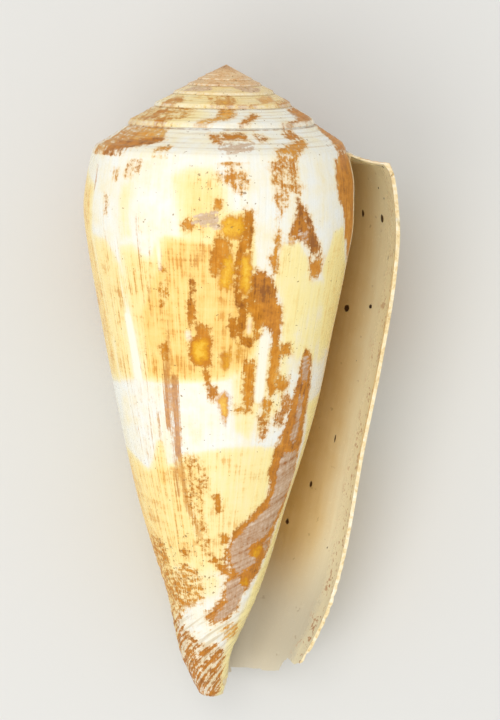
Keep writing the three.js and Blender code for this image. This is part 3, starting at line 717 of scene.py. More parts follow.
# Fine relief of the outer surface, in millimetres
THREAD_COUNT = 5
THREAD_HEIGHT = 0.045
EDGE_START = 0.86
EDGE_ROUNDING = 0.16
EDGE_WEAR = 0.16
FULL_RELIEF_RADIUS = 8
GROWTH_LINE_HEIGHT = 0.02
CORD_HEIGHT = 0.05
CORD_PITCH = 1.15
CORD_CLIMB = 15
CORDS_START = 43
CORDS_END = 59.6
# Chips along the lip: depth and reach in turns, and spacing
CHIP_DEPTH = 0.0035
CHIP_REACH = 0.03
CHIPS_PER_MM = 1.1
SMALL_CHIPS_PER_MM = 2.9


def growth_lines(turn, depth):
    """Low uneven waves across the wall, left where the lip stood while it grew."""
    fine = noise_2d(turn * 160, depth * 0.12, 11)
    broad = noise_2d(turn * 45, depth * 0.08, 12)
    return GROWTH_LINE_HEIGHT * (0.6 * fine + broad)


def cords(turn, depth):
    """Low spiral cords near the front end."""
    shown = np.clip((depth - CORDS_START) / (CORDS_END - CORDS_START), 0, 1)
    wave = np.cos(FULL_TURN * (depth - CORD_CLIMB * turn) / CORD_PITCH)
    uneven = 1 + 0.5 * noise_2d(turn * 30, depth * 0.5, 24)
    return CORD_HEIGHT * wave * np.sin(np.pi * shown) * uneven


def relief_size(turn):
    """Relief is lower on the small early whorls."""
    return np.minimum(1, shoulder_radius(turn) / FULL_RELIEF_RADIUS)


def ramp_relief(turn, share):
    """Threads along a ramp, rounded off at the shoulder edge."""
    threads = 0.5 - 0.5 * np.cos(FULL_TURN * THREAD_COUNT * share)
    wander = 1 + 0.5 * noise_1d(turn * 20, 21)
    rounding = EDGE_ROUNDING * smooth(EDGE_START, 1, share) ** 2 * (1 - smooth(-0.15, -0.02, turn))
    return relief_size(turn) * (THREAD_HEIGHT * threads * wander - rounding)


def edge_wear(turn, share):
    """Uneven loss along the shoulder edges of the spire."""
    rough = noise_1d(turn * 34, 22) + 0.6 * noise_1d(turn * 90, 23)
    return EDGE_WEAR * relief_size(turn) * np.maximum(0, rough) * smooth(0.8, 1, share)


def lip_chips(share):
    """Small chips along the lip edge, in turns."""
    down_mm = share * SHELL_LENGTH
    rough = noise_1d(down_mm * CHIPS_PER_MM, 31) + 0.6 * noise_1d(down_mm * SMALL_CHIPS_PER_MM, 32)
    return CHIP_DEPTH * np.minimum(0, rough)


def wall_point(turn, share):
    a0 = shoulder_depth(turn)
    depth = a0 + share * (SHELL_LENGTH - a0)
    relief = growth_lines(turn, depth) + cords(turn, depth)
    return wall_radius(turn, share) + band(0, 0.03, 0.97, 1, share) * relief, depth


def onto_wall(point, column, share):
    """Goes over from the suture to the free side wall, going round from the mouth."""
    on_wall = wall_point(column, share * WALL_START)
    return mixed_point(point, on_wall, smooth(-1, WALL_FREE_FROM, column))


def worn_ramp_point(turn, share, whorl):
    """Ramp with its threads. The edges above the last whorl's are worn."""
    radius, depth = ramp_point(turn, share)
    return radius - edge_wear(turn, share) * (whorl > 0), depth - ramp_relief(turn, share)


def whorl_rows(whorl, column):
    """Rows of a whorl's ramp and of the step down to the suture under it."""
    turn = column - whorl
    rows = []
    for share, back in zip(RAMP_SHARES, -NOTCH_DEPTH * np.sin(np.pi * RAMP_SHARES) ** 2):
        rows.append((worn_ramp_point(turn, share, whorl), back, share))
    edge, under = rows[-1][0], suture_point(turn + 1)
    for share in STEP_SHARES:
        point = mixed(edge[0], under[0], share**0.5), mixed(edge[1], under[1], share)
        if whorl == 0:
            point = onto_wall(point, column, share)
        rows.append((point, 0, 1))
    if whorl == INNER_WHORLS:
        rows = rounded_start(rows, turn)
    return [(*point, column + back, turn, share) for point, back, share in rows]


def rounded_start(rows, turn):
    """Lets the first whorl grow out of its rim."""
    rim = suture_point(float(-INNER_WHORLS))
    grown = smooth(-1 - INNER_WHORLS, -1 - INNER_WHORLS + CAP_TURNS, turn)
    return [
        (mixed_point(rim, point, grown * (share > 0)), back * grown, share) for point, back, share in rows
    ]


def skin_rows():
    """Rows round the coil, apex to tip: radius, depth, place, turns along the coil, ramp share."""
    column = np.linspace(-1, 0, COLUMNS + 1)
    rows = []
    for whorl in range(INNER_WHORLS, -1, -1):
        rows += whorl_rows(whorl, column)
    start = onto_wall(suture_point(column + 1), column, LAST_STEP_SHARE)
    rows.append((*start, column, column, WALL_ROW))
    near_lip = smooth(-CHIP_REACH, 0, column)
    for share in mixed(WALL_START, LAST_SHARE, np.linspace(0, 1, WALL_ROWS) ** WALL_ROW_CROWDING):
        swept = column + along(LIP_SWEEP, share) + near_lip * lip_chips(share)
        rows.append((*wall_point(swept, share), swept, swept, WALL_ROW))
    radius, depth = rows[-1][:2]
    for share in TIP_ROWS:
        rounded = radius * math.sqrt(1 - share * share)
        rows.append((rounded, depth + share * TIP_BULGE, swept, swept, WALL_ROW))
    return rows


TURNED_OVER = [0, 2, 1]


def grid_faces(index, after):
    """Two triangles in each cell between the rows of points and the points after them."""
    a, b = index[:-1].ravel(), after[:-1].ravel()
    c, d = index[1:].ravel(), after[1:].ravel()
    return np.concatenate([np.stack([a, b, c], 1), np.stack([b, d, c], 1)])


def fan(middle, ring, after):
    """Triangles from one point to the steps of a ring."""
    return np.stack([np.full(len(ring), middle), ring, after], 1)


def skin_index(count):
    """Numbers of the points. A whorl's end is the next one's start, and the first starts at a point."""
    index = np.arange(count * (COLUMNS + 1)).reshape(count, COLUMNS + 1)
    index[:ROWS_PER_WHORL + 1, 0] = index[0, 0]
    index[:LAST_RAMP_ROW, COLUMNS] = index[ROWS_PER_WHORL:FIRST_WALL_ROW, 0]
    index[LAST_RAMP_ROW, COLUMNS] = index[FIRST_WALL_ROW, 0]
    return index


def step_face(index, tip, pivot):
    """Face at the mouth between the lip and the wall one turn earlier."""
    lip, inner = index[:, COLUMNS], index[:, 0]
    fan_end = FIRST_WALL_ROW + FAN_ROWS
    faces = [(pivot, lip[i + 1], lip[i]) for i in range(LAST_RAMP_ROW, fan_end)]
    faces += [(pivot, inner[i], inner[i + 1]) for i in range(FIRST_WALL_ROW, fan_end)]
    faces.append((pivot, inner[fan_end], lip[fan_end]))
    for i in range(fan_end, len(index) - 1):
        faces += [(inner[i], inner[i + 1], lip[i]), (inner[i + 1], lip[i + 1], lip[i])]
    faces.append((inner[-1], tip, lip[-1]))
    return np.array(faces)


def outer_body():
    """Outer body of the shell, still solid, with a step face at the mouth."""
    rows = skin_rows()
    radius, depth, turn, coil, share = (
        np.array([np.broadcast_to(row[k], COLUMNS + 1) for row in rows], float) for k in range(5)
    )
    points = place(radius, depth, turn)
    middle_row = FIRST_WALL_ROW + FAN_ROWS // 2
    pivot_point = (points[middle_row, 0] + points[middle_row, COLUMNS]) / 2
    tip_depth = wall_point(0.0, LAST_SHARE)[1] + TIP_BULGE
    points = np.concatenate([points.reshape(-1, 3), [[0, 0, 0], [0, -tip_depth, 0], pivot_point]])
    apex, tip, pivot = range(len(points) - 3, len(points))
    index = skin_index(len(rows))
    first, last = index[0], index[-1]
    skin = [grid_faces(index[:, :-1], index[:, 1:]), fan(apex, first[1:], first[:-1])]
    skin = np.concatenate([*skin, fan(tip, last[:-1], last[1:])])
    step = step_face(index, tip, pivot)
    zone = np.repeat([OUTER_ZONE, EDGE_ZONE], [len(skin), len(step)])
    radius, depth, coil, share = (values.ravel() for values in (radius, depth, coil, share))
    stains = outer_stains(radius, depth, coil, share)
    stains = np.concatenate([stains, stains[[0, -1, -1]]])
    mark = SHARE_MARK * np.where(share < 0, 1, share)
    ends = [[-1 - INNER_WHORLS, 0, 0], [-0.5, SHELL_LENGTH, SHARE_MARK], [0, -pivot_point[1], 0]]
    coil = np.concatenate([np.stack([coil, depth, mark], 1), ends])
    return points, np.concatenate([skin, step]), coil, zone, stains


def core_radius(turn, depth):
    """Core wound inside the last whorl: the wall one turn earlier, drawn in to the front."""
    a0 = shoulder_depth(turn - 1)
    share = np.maximum(0, (depth - a0) / (SHELL_LENGTH - a0))
    drawn = CORE_DRAW_IN * smooth(CORE_DRAW_FROM, CORE_DRAW_TO, depth)
    ratio = along(RIGHT_WALL, share) / RIGHT_WALL[0][1]
    return shoulder_radius(turn - 1) * ratio * np.exp(drawn * turn)


def outer_radius_at(turn, depth):
    share = (depth - shoulder_depth(turn)) / (SHELL_LENGTH - shoulder_depth(turn))
    wall = wall_radius(turn, np.clip(share, 0, HOLLOW_HELD_SHARE))
    return np.where(turn <= -1, core_radius(turn + 1, depth), wall)


def hollow():
    """Mouth hollow, to be taken out of the body."""
    turn = np.linspace(HOLLOW_END, HOLLOW_START, HOLLOW_COLUMNS + 1)[:, None]
    crowded = np.linspace(0, 1, HOLLOW_ROW_COUNT) ** HOLLOW_ROW_CROWDING
    share = HOLLOW_ROW_START + (1 - HOLLOW_ROW_START) * crowded
    thick = mixed(LIP_THICKNESS, WALL_THICKNESS, smooth(0, -THICKENING_TURNS, turn))
    roof = thick * (1 - ROOF_THINNING * smooth(-0.12, 0, turn))
    floor = along(HOLLOW_FLOOR, turn)
    core_depth = mixed(suture_point(turn)[1] + roof, floor, share)
    core = core_radius(turn, core_depth) + CALLUS_STEP
    wall_depth = mixed(shoulder_depth(turn) + roof, floor, share)
    least = core_radius(turn, wall_depth) + CALLUS_STEP + HOLLOW_LEAST_WIDTH
    wall = np.maximum(least, outer_radius_at(turn, wall_depth) - thick)
    roof_radius, roof_depth = ramp_point(turn, ROOF_SHARES)
    radius = np.concatenate([core[:, ::-1], roof_radius, wall], 1)
    depth = np.concatenate([core_depth[:, ::-1], roof_depth + roof, wall_depth], 1)
    turn = turn + 0 * radius
    points = place(radius, depth, turn)
    index = np.arange(radius.size).reshape(radius.shape)
    faces = np.concatenate([
        grid_faces(index, np.roll(index, -1, axis=1))[:, TURNED_OVER],
        cap_strip(index[0]),
        cap_strip(index[-1])[:, TURNED_OVER],
    ])
    turn, depth = turn.ravel(), depth.ravel()
    coil = np.stack([turn, depth, 0 * turn], 1)
    zone = np.full(len(faces), INNER_ZONE)
    return points.reshape(-1, 3), faces, coil, zone, inside_stains(turn, depth)


def cap_strip(ring):
    """Closes an end of the hollow with strips between its core side and its wall side."""
    half = HOLLOW_ROW_COUNT
    core, roof, wall = ring[:half], ring[half:-half], ring[-half:][::-1]
    faces = []
    for k in range(half - 1):
        faces += [(core[k], core[k + 1], wall[k]), (core[k + 1], wall[k + 1], wall[k])]
    roof = [*roof, wall[-1]]
    faces += [(core[-1], first, second) for first, second in zip(roof, roof[1:])]
    return np.array(faces)


def broken_edge_cut():
    """Prism with ragged sides that takes the broken front edge off the lip."""
    outline = []
    for start, end in zip(BROKEN_EDGE, BROKEN_EDGE[1:] + BROKEN_EDGE[:1]):
        pieces = max(1, int(math.dist(start, end) / CUT_STEP))
        outline += [mixed_point(start, end, k / pieces) for k in range(pieces)]
    outline = np.array(outline)
    levels = np.linspace(-CUT_HALF_HEIGHT, CUT_HALF_HEIGHT, CUT_LEVELS)[:, None]
    z = levels + 0 * outline[:, 0]
    x, y = outline[:, 0] + 0 * z, outline[:, 1] + 0 * z
    shaken = smooth(14, 12.5, x) * smooth(60, 59, y) * CUT_ROUGHNESS
    rough_x = noise_2d(x * 1.7 + z * 0.9, y * 1.7 + z * 0.4, 41)
    rough_y = noise_2d(x * 1.7 + z * 0.9, y * 1.7 - z * 0.4, 42)
    points = np.stack([x + shaken * rough_x, -(y + shaken * rough_y), z], -1)
    ends = [[8, -62, -CUT_HALF_HEIGHT], [8, -62, CUT_HALF_HEIGHT]]
    index = np.arange(x.size).reshape(x.shape)
    after = np.roll(index, -1, axis=1)
    faces = np.concatenate([
        grid_faces(index, after),
        fan(x.size, after[0], index[0]),
        fan(x.size + 1, index[-1], after[-1]),
    ])
    points = np.concatenate([points.reshape(-1, 3), ends])
    coil = np.stack([0 * points[:, 0], -points[:, 1], 0 * points[:, 0]], 1)
    stains = np.zeros((len(points), STAIN_COLUMNS))
    return points, faces, coil, np.full(len(faces), EDGE_ZONE), stains


def put_in_scene(name, data):
    made = bpy.data.objects.new(name, data)
    bpy.context.scene.collection.objects.link(made)
    return made


def write_corners(mesh, name, values):
    made = mesh.attributes.new(name, "FLOAT_VECTOR", "CORNER")
    made.data.foreach_set("vector", values.astype(np.float32).ravel())


def mesh_object(name, points, faces, coil, zone, stains):
    """Mesh whose corners carry the place along the coil, the kind of surface and the stains."""
    a, b, c = faces.T
    keep = (a != b) & (b != c) & (a != c)
    faces, zone = faces[keep], zone[keep]
    used, faces = np.unique(faces, return_inverse=True)
    faces = faces.reshape(-1, 3)
    points, coil, stains = points[used], coil[used], stains[used]
    mesh = bpy.data.meshes.new(name)
    mesh.from_pydata(settle(points).tolist(), [], faces.tolist())
    corner = faces.ravel()
    corner_coil = coil[corner]
    corner_coil[:, 2] += np.repeat(zone, 3)
    write_corners(mesh, "coil", corner_coil)
    for first, letter in ((0, "a"), (3, "b"), (6, "c")):
        write_corners(mesh, "stain_" + letter, stains[corner, first:first + 3])
    return put_in_scene(name, mesh)


def take_out(piece, tool):
    """Cuts the tool's solid out of the piece."""
    cut = piece.modifiers.new("cut", "BOOLEAN")
    cut.operation = "DIFFERENCE"
    cut.solver = "MANIFOLD"
    cut.object = tool
    graph = bpy.context.evaluated_depsgraph_get()
    result = bpy.data.meshes.new_from_object(piece.evaluated_get(graph))
    piece.modifiers.clear()
    piece.data = result
    bpy.data.objects.remove(tool)


SHARP_ANGLE = math.radians(38)


def build_shell():
    shell = mesh_object("cone_shell", *outer_body())
    take_out(shell, mesh_object("mouth_hollow", *hollow()))
    take_out(shell, mesh_object("broken_edge", *broken_edge_cut()))
    mesh = shell.data
    mesh.polygons.foreach_set("use_smooth", np.ones(len(mesh.polygons), bool))
    mesh.set_sharp_from_angle(angle=SHARP_ANGLE)
    return shell


def linear(red, green, blue):
    """Colour as a screen shows it, 0 to 255, turned into the linear values shaders use."""
    shares = np.array([red, green, blue]) / 255
    low = shares / 12.92
    high = ((shares + 0.055) / 1.055) ** 2.4
    return (*np.where(shares <= 0.04045, low, high).tolist(), 1)


GLOSS = 0.18
INSIDE_RADIUS = 15
# Distance in half sizes from a stain's middle at which its strength reaches 0
STAIN_REACH = 1.5

# Colours as a screen shows them, red, green and blue from 0 to 255
# Paler yellow beside the mouth: partly the stain's colour, partly painted light lifting the shade there
LEMON_PAINTED_LIGHT = (252, 238, 164)
STAIN_HALO = (236, 190, 108)
BROWN_RIM = (146, 84, 22)
PALE_STREAK = (249, 243, 222)
# Painted shade in the grooves between the threads of the ramps
RAMP_GROOVE_SHADE = (190, 156, 110)
SHOULDER_CREST = (250, 242, 220)
# Painted shadow along the suture, under the shoulder edge above
SUTURE_SHADOW = (158, 108, 66)
# Painted shade in the grooves between the cords at the tip
TIP_GROOVE_SHADE = (206, 184, 144)
SPECK = (140, 104, 60)
FRONT_LINING = (208, 200, 180)
LIP_FLAKES = (252, 242, 206)
LIP_PEACH = (255, 222, 154)
LIP_WORN = (176, 108, 46)
LINING_SPOT = (150, 116, 70)
PIT = (58, 26, 8)

# Ramps of colour: place on the ramp, colour
GROUND = [
    (0, (236, 232, 217)), (0.25, (246, 233, 188)), (0.5, (248, 228, 162)), (0.75, (247, 213, 132)),
    (1, (236, 178, 74)),
]
BARE_GROUND = [(0.3, (240, 241, 234)), (0.55, (243, 238, 217)), (0.8, (244, 231, 190))]
THIN_STREAKS = [(0.3, (166, 102, 38)), (0.7, (218, 152, 66))]
DRAWN_STREAKS = [(0.35, (170, 104, 40)), (0.65, (208, 144, 70))]
BROWN = [
    (0.05, (240, 194, 112)), (0.32, (220, 150, 44)), (0.58, (200, 124, 12)), (0.82, (180, 110, 8)),
    (1, (142, 80, 8)),
]
AMBER = [(0.3, (180, 104, 10)), (0.55, (208, 138, 16)), (0.8, (228, 168, 30)), (1, (238, 192, 64))]
LILAC = [
    (0.24, (160, 102, 54)), (0.4, (186, 150, 118)), (0.62, (206, 178, 150)), (0.85, (230, 212, 190)),
]
OLD_WHORLS = [(0.15, (164, 104, 60)), (0.45, (222, 174, 120)), (0.8, (242, 216, 172))]
# Lining from light at the lip to darker deep in the hollow: partly its own colour, partly painted shade
LINING_AND_HOLLOW_SHADE = [
    (0, (255, 248, 216)), (0.35, (252, 241, 206)), (0.65, (240, 214, 160)), (1, (214, 174, 102)),
]
BROKEN_LAYERS = [(0.2, (205, 172, 112)), (0.45, (238, 218, 170)), (0.75, (250, 243, 222))]


class Shades:
    """Short names for the shader nodes that the materials use."""

    def __init__(self, name):
        self.material = bpy.data.materials.new(name)
        self.material.use_nodes = True
        self.tree = self.material.node_tree
        self.shader = self.tree.nodes["Principled BSDF"]
        self.place = self.scaled(self.node("TexCoord").outputs["Object"], (1 / MM, 1 / MM, 1 / MM))
        self.coil = self.attribute("coil")
        self.turn, self.depth, self.share_mark = self.channels("coil")

    def node(self, kind):
        return self.tree.nodes.new("ShaderNode" + kind)

    def connect(self, socket, value):
        if isinstance(value, bpy.types.NodeSocket):
            self.tree.links.new(value, socket)
        else:
            socket.default_value = value

    def attribute(self, name):
        read = self.node("Attribute")
        read.attribute_name = name
        return read.outputs["Vector"]

    def channels(self, name):
        """The three numbers of a corner attribute."""
        split = self.node("SeparateXYZ")
        self.connect(split.inputs[0], self.attribute(name))
        return tuple(split.outputs)

    def calculated(self, kind, operation, values):
        made = self.node(kind)
        made.operation = operation
        for socket, value in zip(made.inputs, values):
            self.connect(socket, value)
        return made.outputs

    def math(self, operation, *values):
        return self.calculated("Math", operation, values)[0]

    def scaled(self, vector, factors):
        return self.calculated("VectorMath", "MULTIPLY", (vector, factors))[0]

    def times(self, value, *others):
        for other in others:
            value = self.math("MULTIPLY", value, other)
        return value

    def noise(self, scale, detail=3, roughness=0.5, vector=None):
        made = self.node("TexNoise")
        self.connect(made.inputs["Vector"], vector or self.place)
        made.inputs["Scale"].default_value = scale
        made.inputs["Detail"].default_value = detail
        made.inputs["Roughness"].default_value = roughness
        return made.outputs["Fac"]

    def coil_noise(self, per_turn, per_mm, detail=3, roughness=0.6):
        """Noise drawn out along the coil or along the axis."""
        return self.noise(1, detail, roughness, self.scaled(self.coil, (per_turn, per_mm, 0)))

    def slanted_noise(self, climb, per_turn, per_mm, detail=3, roughness=0.6):
        """Noise drawn out along lines that climb by so many millimetres in a turn."""
        slant = (-climb * per_mm, per_mm, 0)
        joined = self.node("CombineXYZ")
        self.connect(joined.inputs[0], self.times(self.turn, per_turn))
        across = self.calculated("VectorMath", "DOT_PRODUCT", (self.coil, slant))["Value"]
        self.connect(joined.inputs[1], across)
        return self.noise(1, detail, roughness, joined.outputs[0])

    def shaken(self, value, *pushes, **grains):
        """A value moved up and down by noises or named grains, each with its own strength."""
        named = [(getattr(self, name), strength) for name, strength in grains.items()]
        for push, strength in [*pushes, *named]:
            centred = self.math("SUBTRACT", push, 0.5)
            value = self.math("MULTIPLY_ADD", centred, strength, value)
        return value

    def either(self, share, first, second):
        """The first value where the share is 0, the second where it is 1."""
        return self.math("MULTIPLY_ADD", self.math("SUBTRACT", second, first), share, first)

    def step(self, value, low, high):
        made = self.node("MapRange")
        made.interpolation_type = "SMOOTHSTEP"
        self.connect(made.inputs["Value"], value)
        made.inputs["From Min"].default_value = low
        made.inputs["From Max"].default_value = high
        return made.outputs["Result"]

    def band(self, value, start, full, fading, end):
        """1 between the middle two places, 0 outside the outer two."""
        return self.times(self.step(value, start, full), self.step(value, end, fading))

    def mix(self, share, first, second, strength=1):
        """Lays the second colour over the first, where the share says."""
        made = self.node("Mix")
        made.data_type = "RGBA"
        if strength != 1:
            share = self.times(share, strength)
        if isinstance(second, tuple):
            second = linear(*second)
        sockets = [socket for socket in made.inputs if socket.enabled]
        for socket, value in zip(sockets, (share, first, second)):
            self.connect(socket, value)
        return next(socket for socket in made.outputs if socket.enabled)

    def ramp(self, value, stops):
        made = self.node("ValToRGB")
        self.connect(made.inputs["Fac"], value)
        elements = made.color_ramp.elements
        while len(elements) < len(stops):
            elements.new(1)
        for element, (position, colour) in zip(elements, stops):
            element.position = position
            element.color = linear(*colour)
        return made.outputs["Color"]

    def finish(self, colour, roughness, relief, relief_mm):
        bump = self.node("Bump")
        bump.inputs["Distance"].default_value = relief_mm * MM
        self.connect(bump.inputs["Height"], relief)
        self.connect(self.shader.inputs["Base Color"], colour)
        self.connect(self.shader.inputs["Roughness"], roughness)
        self.shader.inputs["Specular IOR Level"].default_value = GLOSS
        self.connect(self.shader.inputs["Normal"], bump.outputs["Normal"])
        return self.material


class OutsideShades(Shades):
    """Adds the grains that several layers of the outer surface share."""

    def __init__(self, name):
        super().__init__(name)
        self.share = self.times(self.share_mark, 1 / SHARE_MARK)
        self.ragged = self.noise(2.3, 6, 0.68)
        self.flecks = self.noise(4.2, 5, 0.7)
        self.blotch = self.noise(1, 4, 0.55)
        self.cloud = self.noise(0.42)
        self.spirals = self.coil_noise(9, 3.1, 3, 0.65)
        on_ramp = self.step(self.share, 0.98, 0.9)
        self.lines = self.either(on_ramp, self.coil_noise(190, 0.17), self.spirals)
        hairs_across = self.coil_noise(430, 0.16, 3, 0.65)
        self.hairs = self.either(on_ramp, hairs_across, self.coil_noise(24, 7))
        self.dashes = self.slanted_noise(2, 26, 2.2, 4, 0.65)
        self.cords = self.slanted_noise(CORD_CLIMB, 6, 2.4, 3, 0.55)
        self.low_down = self.step(self.depth, 41, 47)
        self.at_tip = self.step(self.depth, 50, 53)
        self.by_mouth = self.band(self.turn, -1.01, -0.99, -0.88, -0.81)


def stained_ground(s, yellow):
    """Porcelain white, stained yellow, with the stain drawn out along the growth lines, and paler beside
    the mouth: partly its own colour, partly painted light against the shade there.
    """
    pushed = s.shaken(yellow, cloud=0.35, blotch=0.25, lines=0.5, hairs=0.35, spirals=0.12)
    held = s.times(pushed, s.step(yellow, 0, 0.3))
    bare = s.ramp(s.shaken(s.cloud, lines=0.5, blotch=0.5), BARE_GROUND)
    # Beside the mouth the yellow turns paler: partly its own colour, partly painted light against the
    # shade on that side
    lemon_painted_light = s.times(s.by_mouth, s.step(held, 0.15, 0.4))
    ground = s.mix(lemon_painted_light, s.ramp(held, GROUND), LEMON_PAINTED_LIGHT, 0.5)
    return s.mix(s.step(yellow, 0.35, 0.02), ground, bare, 0.85)


def streaked(s, ground, yellow, streak):
    """Thin ochre streaks, everywhere in the stain and along the drawn lines."""
    thin = s.shaken(s.hairs, lines=0.8, cloud=0.6, blotch=0.9, spirals=0.4, ragged=0.3)
    share = s.times(s.step(thin, 0.56, 0.8), s.step(yellow, 0.2, 0.7))
    share = s.times(share, s.math("MULTIPLY_ADD", s.by_mouth, -0.7, 1))
    ground = s.mix(share, ground, s.ramp(s.shaken(s.blotch, lines=0.8), THIN_STREAKS), 0.8)
    pushed = s.shaken(streak, ragged=0.6, hairs=1, lines=0.5, flecks=0.2)
    return s.mix(s.step(pushed, 0.3, 0.62), ground, s.ramp(s.ragged, DRAWN_STREAKS), 0.86)


def brown_patches(s, surface, value, tone):
    """Ragged brown layer in its tones, with a pale stain round it and a darker rim."""
    surface = s.mix(s.step(value, 0.16, 0.5), surface, STAIN_HALO, 0.5)
    tone = s.shaken(tone, (value, 0.35), blotch=0.9, ragged=0.6, lines=0.8, hairs=0.5)
    share = s.step(value, 0.38, 0.62)
    surface = s.mix(share, surface, s.ramp(tone, BROWN), 0.95)
    rim = s.times(share, s.step(value, 0.7, 0.56))
    return s.mix(rim, surface, BROWN_RIM, 0.34), share


def amber_patches(s, surface, amber):
    share = s.step(s.shaken(amber, ragged=0.9, lines=0.5), 0.25, 0.65)
    colour = s.ramp(s.shaken(amber, blotch=1, ragged=0.9), AMBER)
    return s.mix(share, surface, colour, 0.92)


def lilac_ground(s, surface, lilac):
    """Pinkish lower layer, ragged and streaked along the cords."""
    share = s.step(s.shaken(lilac, ragged=1, lines=0.5, cords=0.8, flecks=0.4), 0.36, 0.62)
    colour = s.ramp(s.shaken(s.cords, ragged=0.8, lines=0.5, flecks=0.4), LILAC)
    return s.mix(share, surface, colour, 0.92)


def worn_whorls(s, surface, old):
    colour = s.ramp(s.shaken(s.ragged, cloud=0.5, spirals=0.9, flecks=0.5), OLD_WHORLS)
    return s.mix(old, surface, colour, 0.9)


def threaded(s, surface):
    """Painted shade between the threads of the ramps, pale shoulder edges and a painted shadow line along
    the suture, under the edge above.
    """
    wave = s.math("COSINE", s.times(s.share, FULL_TURN * THREAD_COUNT))
    # Painted shade in the grooves between the threads
    groove_shade = s.step(s.shaken(wave, spirals=2.4, ragged=2), 0.3, 1.2)
    groove_shade = s.times(groove_shade, s.band(s.share, 0.02, 0.08, 0.95, 1))
    surface = s.mix(groove_shade, surface, RAMP_GROOVE_SHADE, 0.3)
    crest = s.times(s.band(s.share, 0.9, 0.97, 0.99, 1.02), s.step(s.ragged, 0.35, 0.6))
    crest = s.times(crest, s.step(s.turn, -0.98, -1.02))
    surface = s.mix(crest, surface, SHOULDER_CREST, 0.6)
    # Painted shadow line along the suture, under the shoulder edge above, broken up by noise
    broken = s.step(s.shaken(s.ragged, cloud=0.8), 0.3, 0.6)
    suture = s.times(s.band(s.share, 0.0001, 0.002, 0.02, 0.085), broken)
    return s.mix(suture, surface, SUTURE_SHADOW, 0.75)


def specked(s, surface, speck):
    dots = s.shaken(s.noise(3, 2), spirals=0.1)
    value = s.math("MULTIPLY_ADD", speck, 0.13, dots)
    return s.mix(s.step(value, 0.75, 0.8), surface, SPECK, 0.72)


def outer_material():
    """Worn porcelain-white wall with yellow stain and a ragged brown layer."""
    s = OutsideShades("shell_outside")
    yellow, amber, pale = s.channels("stain_a")
    brown, tone, lilac = s.channels("stain_b")
    streak, speck, old = s.channels("stain_c")
    surface = streaked(s, stained_ground(s, yellow), yellow, streak)
    # Dashes break up the brown low down, and slanting marks do at the tip
    broken = (s.dashes, s.times(s.low_down, 0.9)), (s.cords, s.times(s.at_tip, 1.8))
    brown = s.shaken(brown, *broken, ragged=0.95, flecks=0.5, blotch=0.4, lines=0.45, hairs=0.3)
    surface, brown_share = brown_patches(s, surface, brown, tone)
    surface = amber_patches(s, surface, amber)
    surface = lilac_ground(s, surface, lilac)
    pale_share = s.step(s.shaken(pale, cloud=0.3, lines=0.3), 0.3, 0.7)
    surface = s.mix(pale_share, surface, PALE_STREAK)
    surface = worn_whorls(s, surface, old)
    surface = threaded(s, surface)
    # Painted shade in the grooves between the cords at the tip
    groove_shade = s.times(s.step(s.cords, 0.5, 0.36), s.at_tip)
    surface = s.mix(groove_shade, surface, TIP_GROOVE_SHADE, 0.6)
    surface = specked(s, surface, speck)
    roughness = s.shaken(0.36, (brown_share, 0.16), ragged=0.2)
    relief = s.shaken(s.lines, (brown_share, -0.5), hairs=0.5, spirals=0.7, ragged=0.5)
    return s.finish(surface, roughness, relief, 0.05)


def pit_depth(s):
    """How deep inside the nearest pit or stain a place is, from 0 to 1."""
    deepest = 0.0
    for degrees, depth, half_length, half_width, strength in LIP_STAINS:
        middle = (-degrees / DEGREES, depth, 0)
        sizes = (INSIDE_RADIUS * FULL_TURN / half_width, 1 / half_length, 0)
        away = s.scaled(s.calculated("VectorMath", "SUBTRACT", (s.coil, middle))[0], sizes)
        length = s.calculated("VectorMath", "LENGTH", (away,))["Value"]
        own = s.times(s.math("SUBTRACT", STAIN_REACH, length), strength)
        deepest = s.math("MAXIMUM", deepest, own)
    return deepest


def inner_material():
    """Tan lining, smooth, darker deeper into the hollow, partly its own colour and partly painted shade;
    greyer at the front end, flaky along the lip, with a few dark pits.
    """
    s = Shades("shell_inside")
    tan_and_shade, base, edge = s.channels("stain_a")
    s.cloud = s.noise(0.35)
    s.ragged = s.noise(2.4, 5, 0.6)
    s.lines = s.coil_noise(120, 0.1)
    s.streaks = s.coil_noise(60, 0.5, 4)
    # Darker deeper in the hollow: partly the lining's own colour, partly painted shade
    surface = s.ramp(s.shaken(tan_and_shade, cloud=0.22, lines=0.12), LINING_AND_HOLLOW_SHADE)
    surface = s.mix(base, surface, FRONT_LINING, 0.9)
    flaky = s.step(s.shaken(edge, ragged=0.8, streaks=0.9, cloud=0.3), 0.2, 0.95)
    surface = s.mix(flaky, surface, LIP_FLAKES, 0.6)
    by_lip = s.times(s.step(s.turn, -0.034, -0.012), s.band(s.depth, 12, 19, 34, 46))
    peach = s.step(s.shaken(by_lip, streaks=0.9, ragged=0.9), 0.55, 0.95)
    surface = s.mix(peach, surface, LIP_PEACH, 0.7)
    worn = s.times(s.step(s.shaken(s.ragged, streaks=0.8), 0.57, 0.68), edge)
    surface = s.mix(worn, surface, LIP_WORN, 0.8)
    surface = s.mix(s.step(s.noise(1.1, 2), 0.69, 0.74), surface, LINING_SPOT, 0.3)
    pit = s.step(s.shaken(pit_depth(s), ragged=0.7), 0.35, 0.7)
    surface = s.mix(pit, surface, PIT, 0.95)
    roughness = s.shaken(0.33, (flaky, 0.15), ragged=0.15)
    relief = s.shaken(s.lines, (pit, -1.5), (flaky, 0.5), ragged=0.35)
    return s.finish(surface, roughness, relief, 0.035)


def edge_material():
    """Broken and worn edges of the lip: pale chalky layers."""
    s = Shades("shell_edge")
    s.cloud = s.noise(0.6)
    s.ragged = s.noise(2.6, 5, 0.6)
    surface = s.ramp(s.shaken(s.ragged, cloud=0.6), BROKEN_LAYERS)
    return s.finish(surface, 0.5, s.ragged, 0.08)


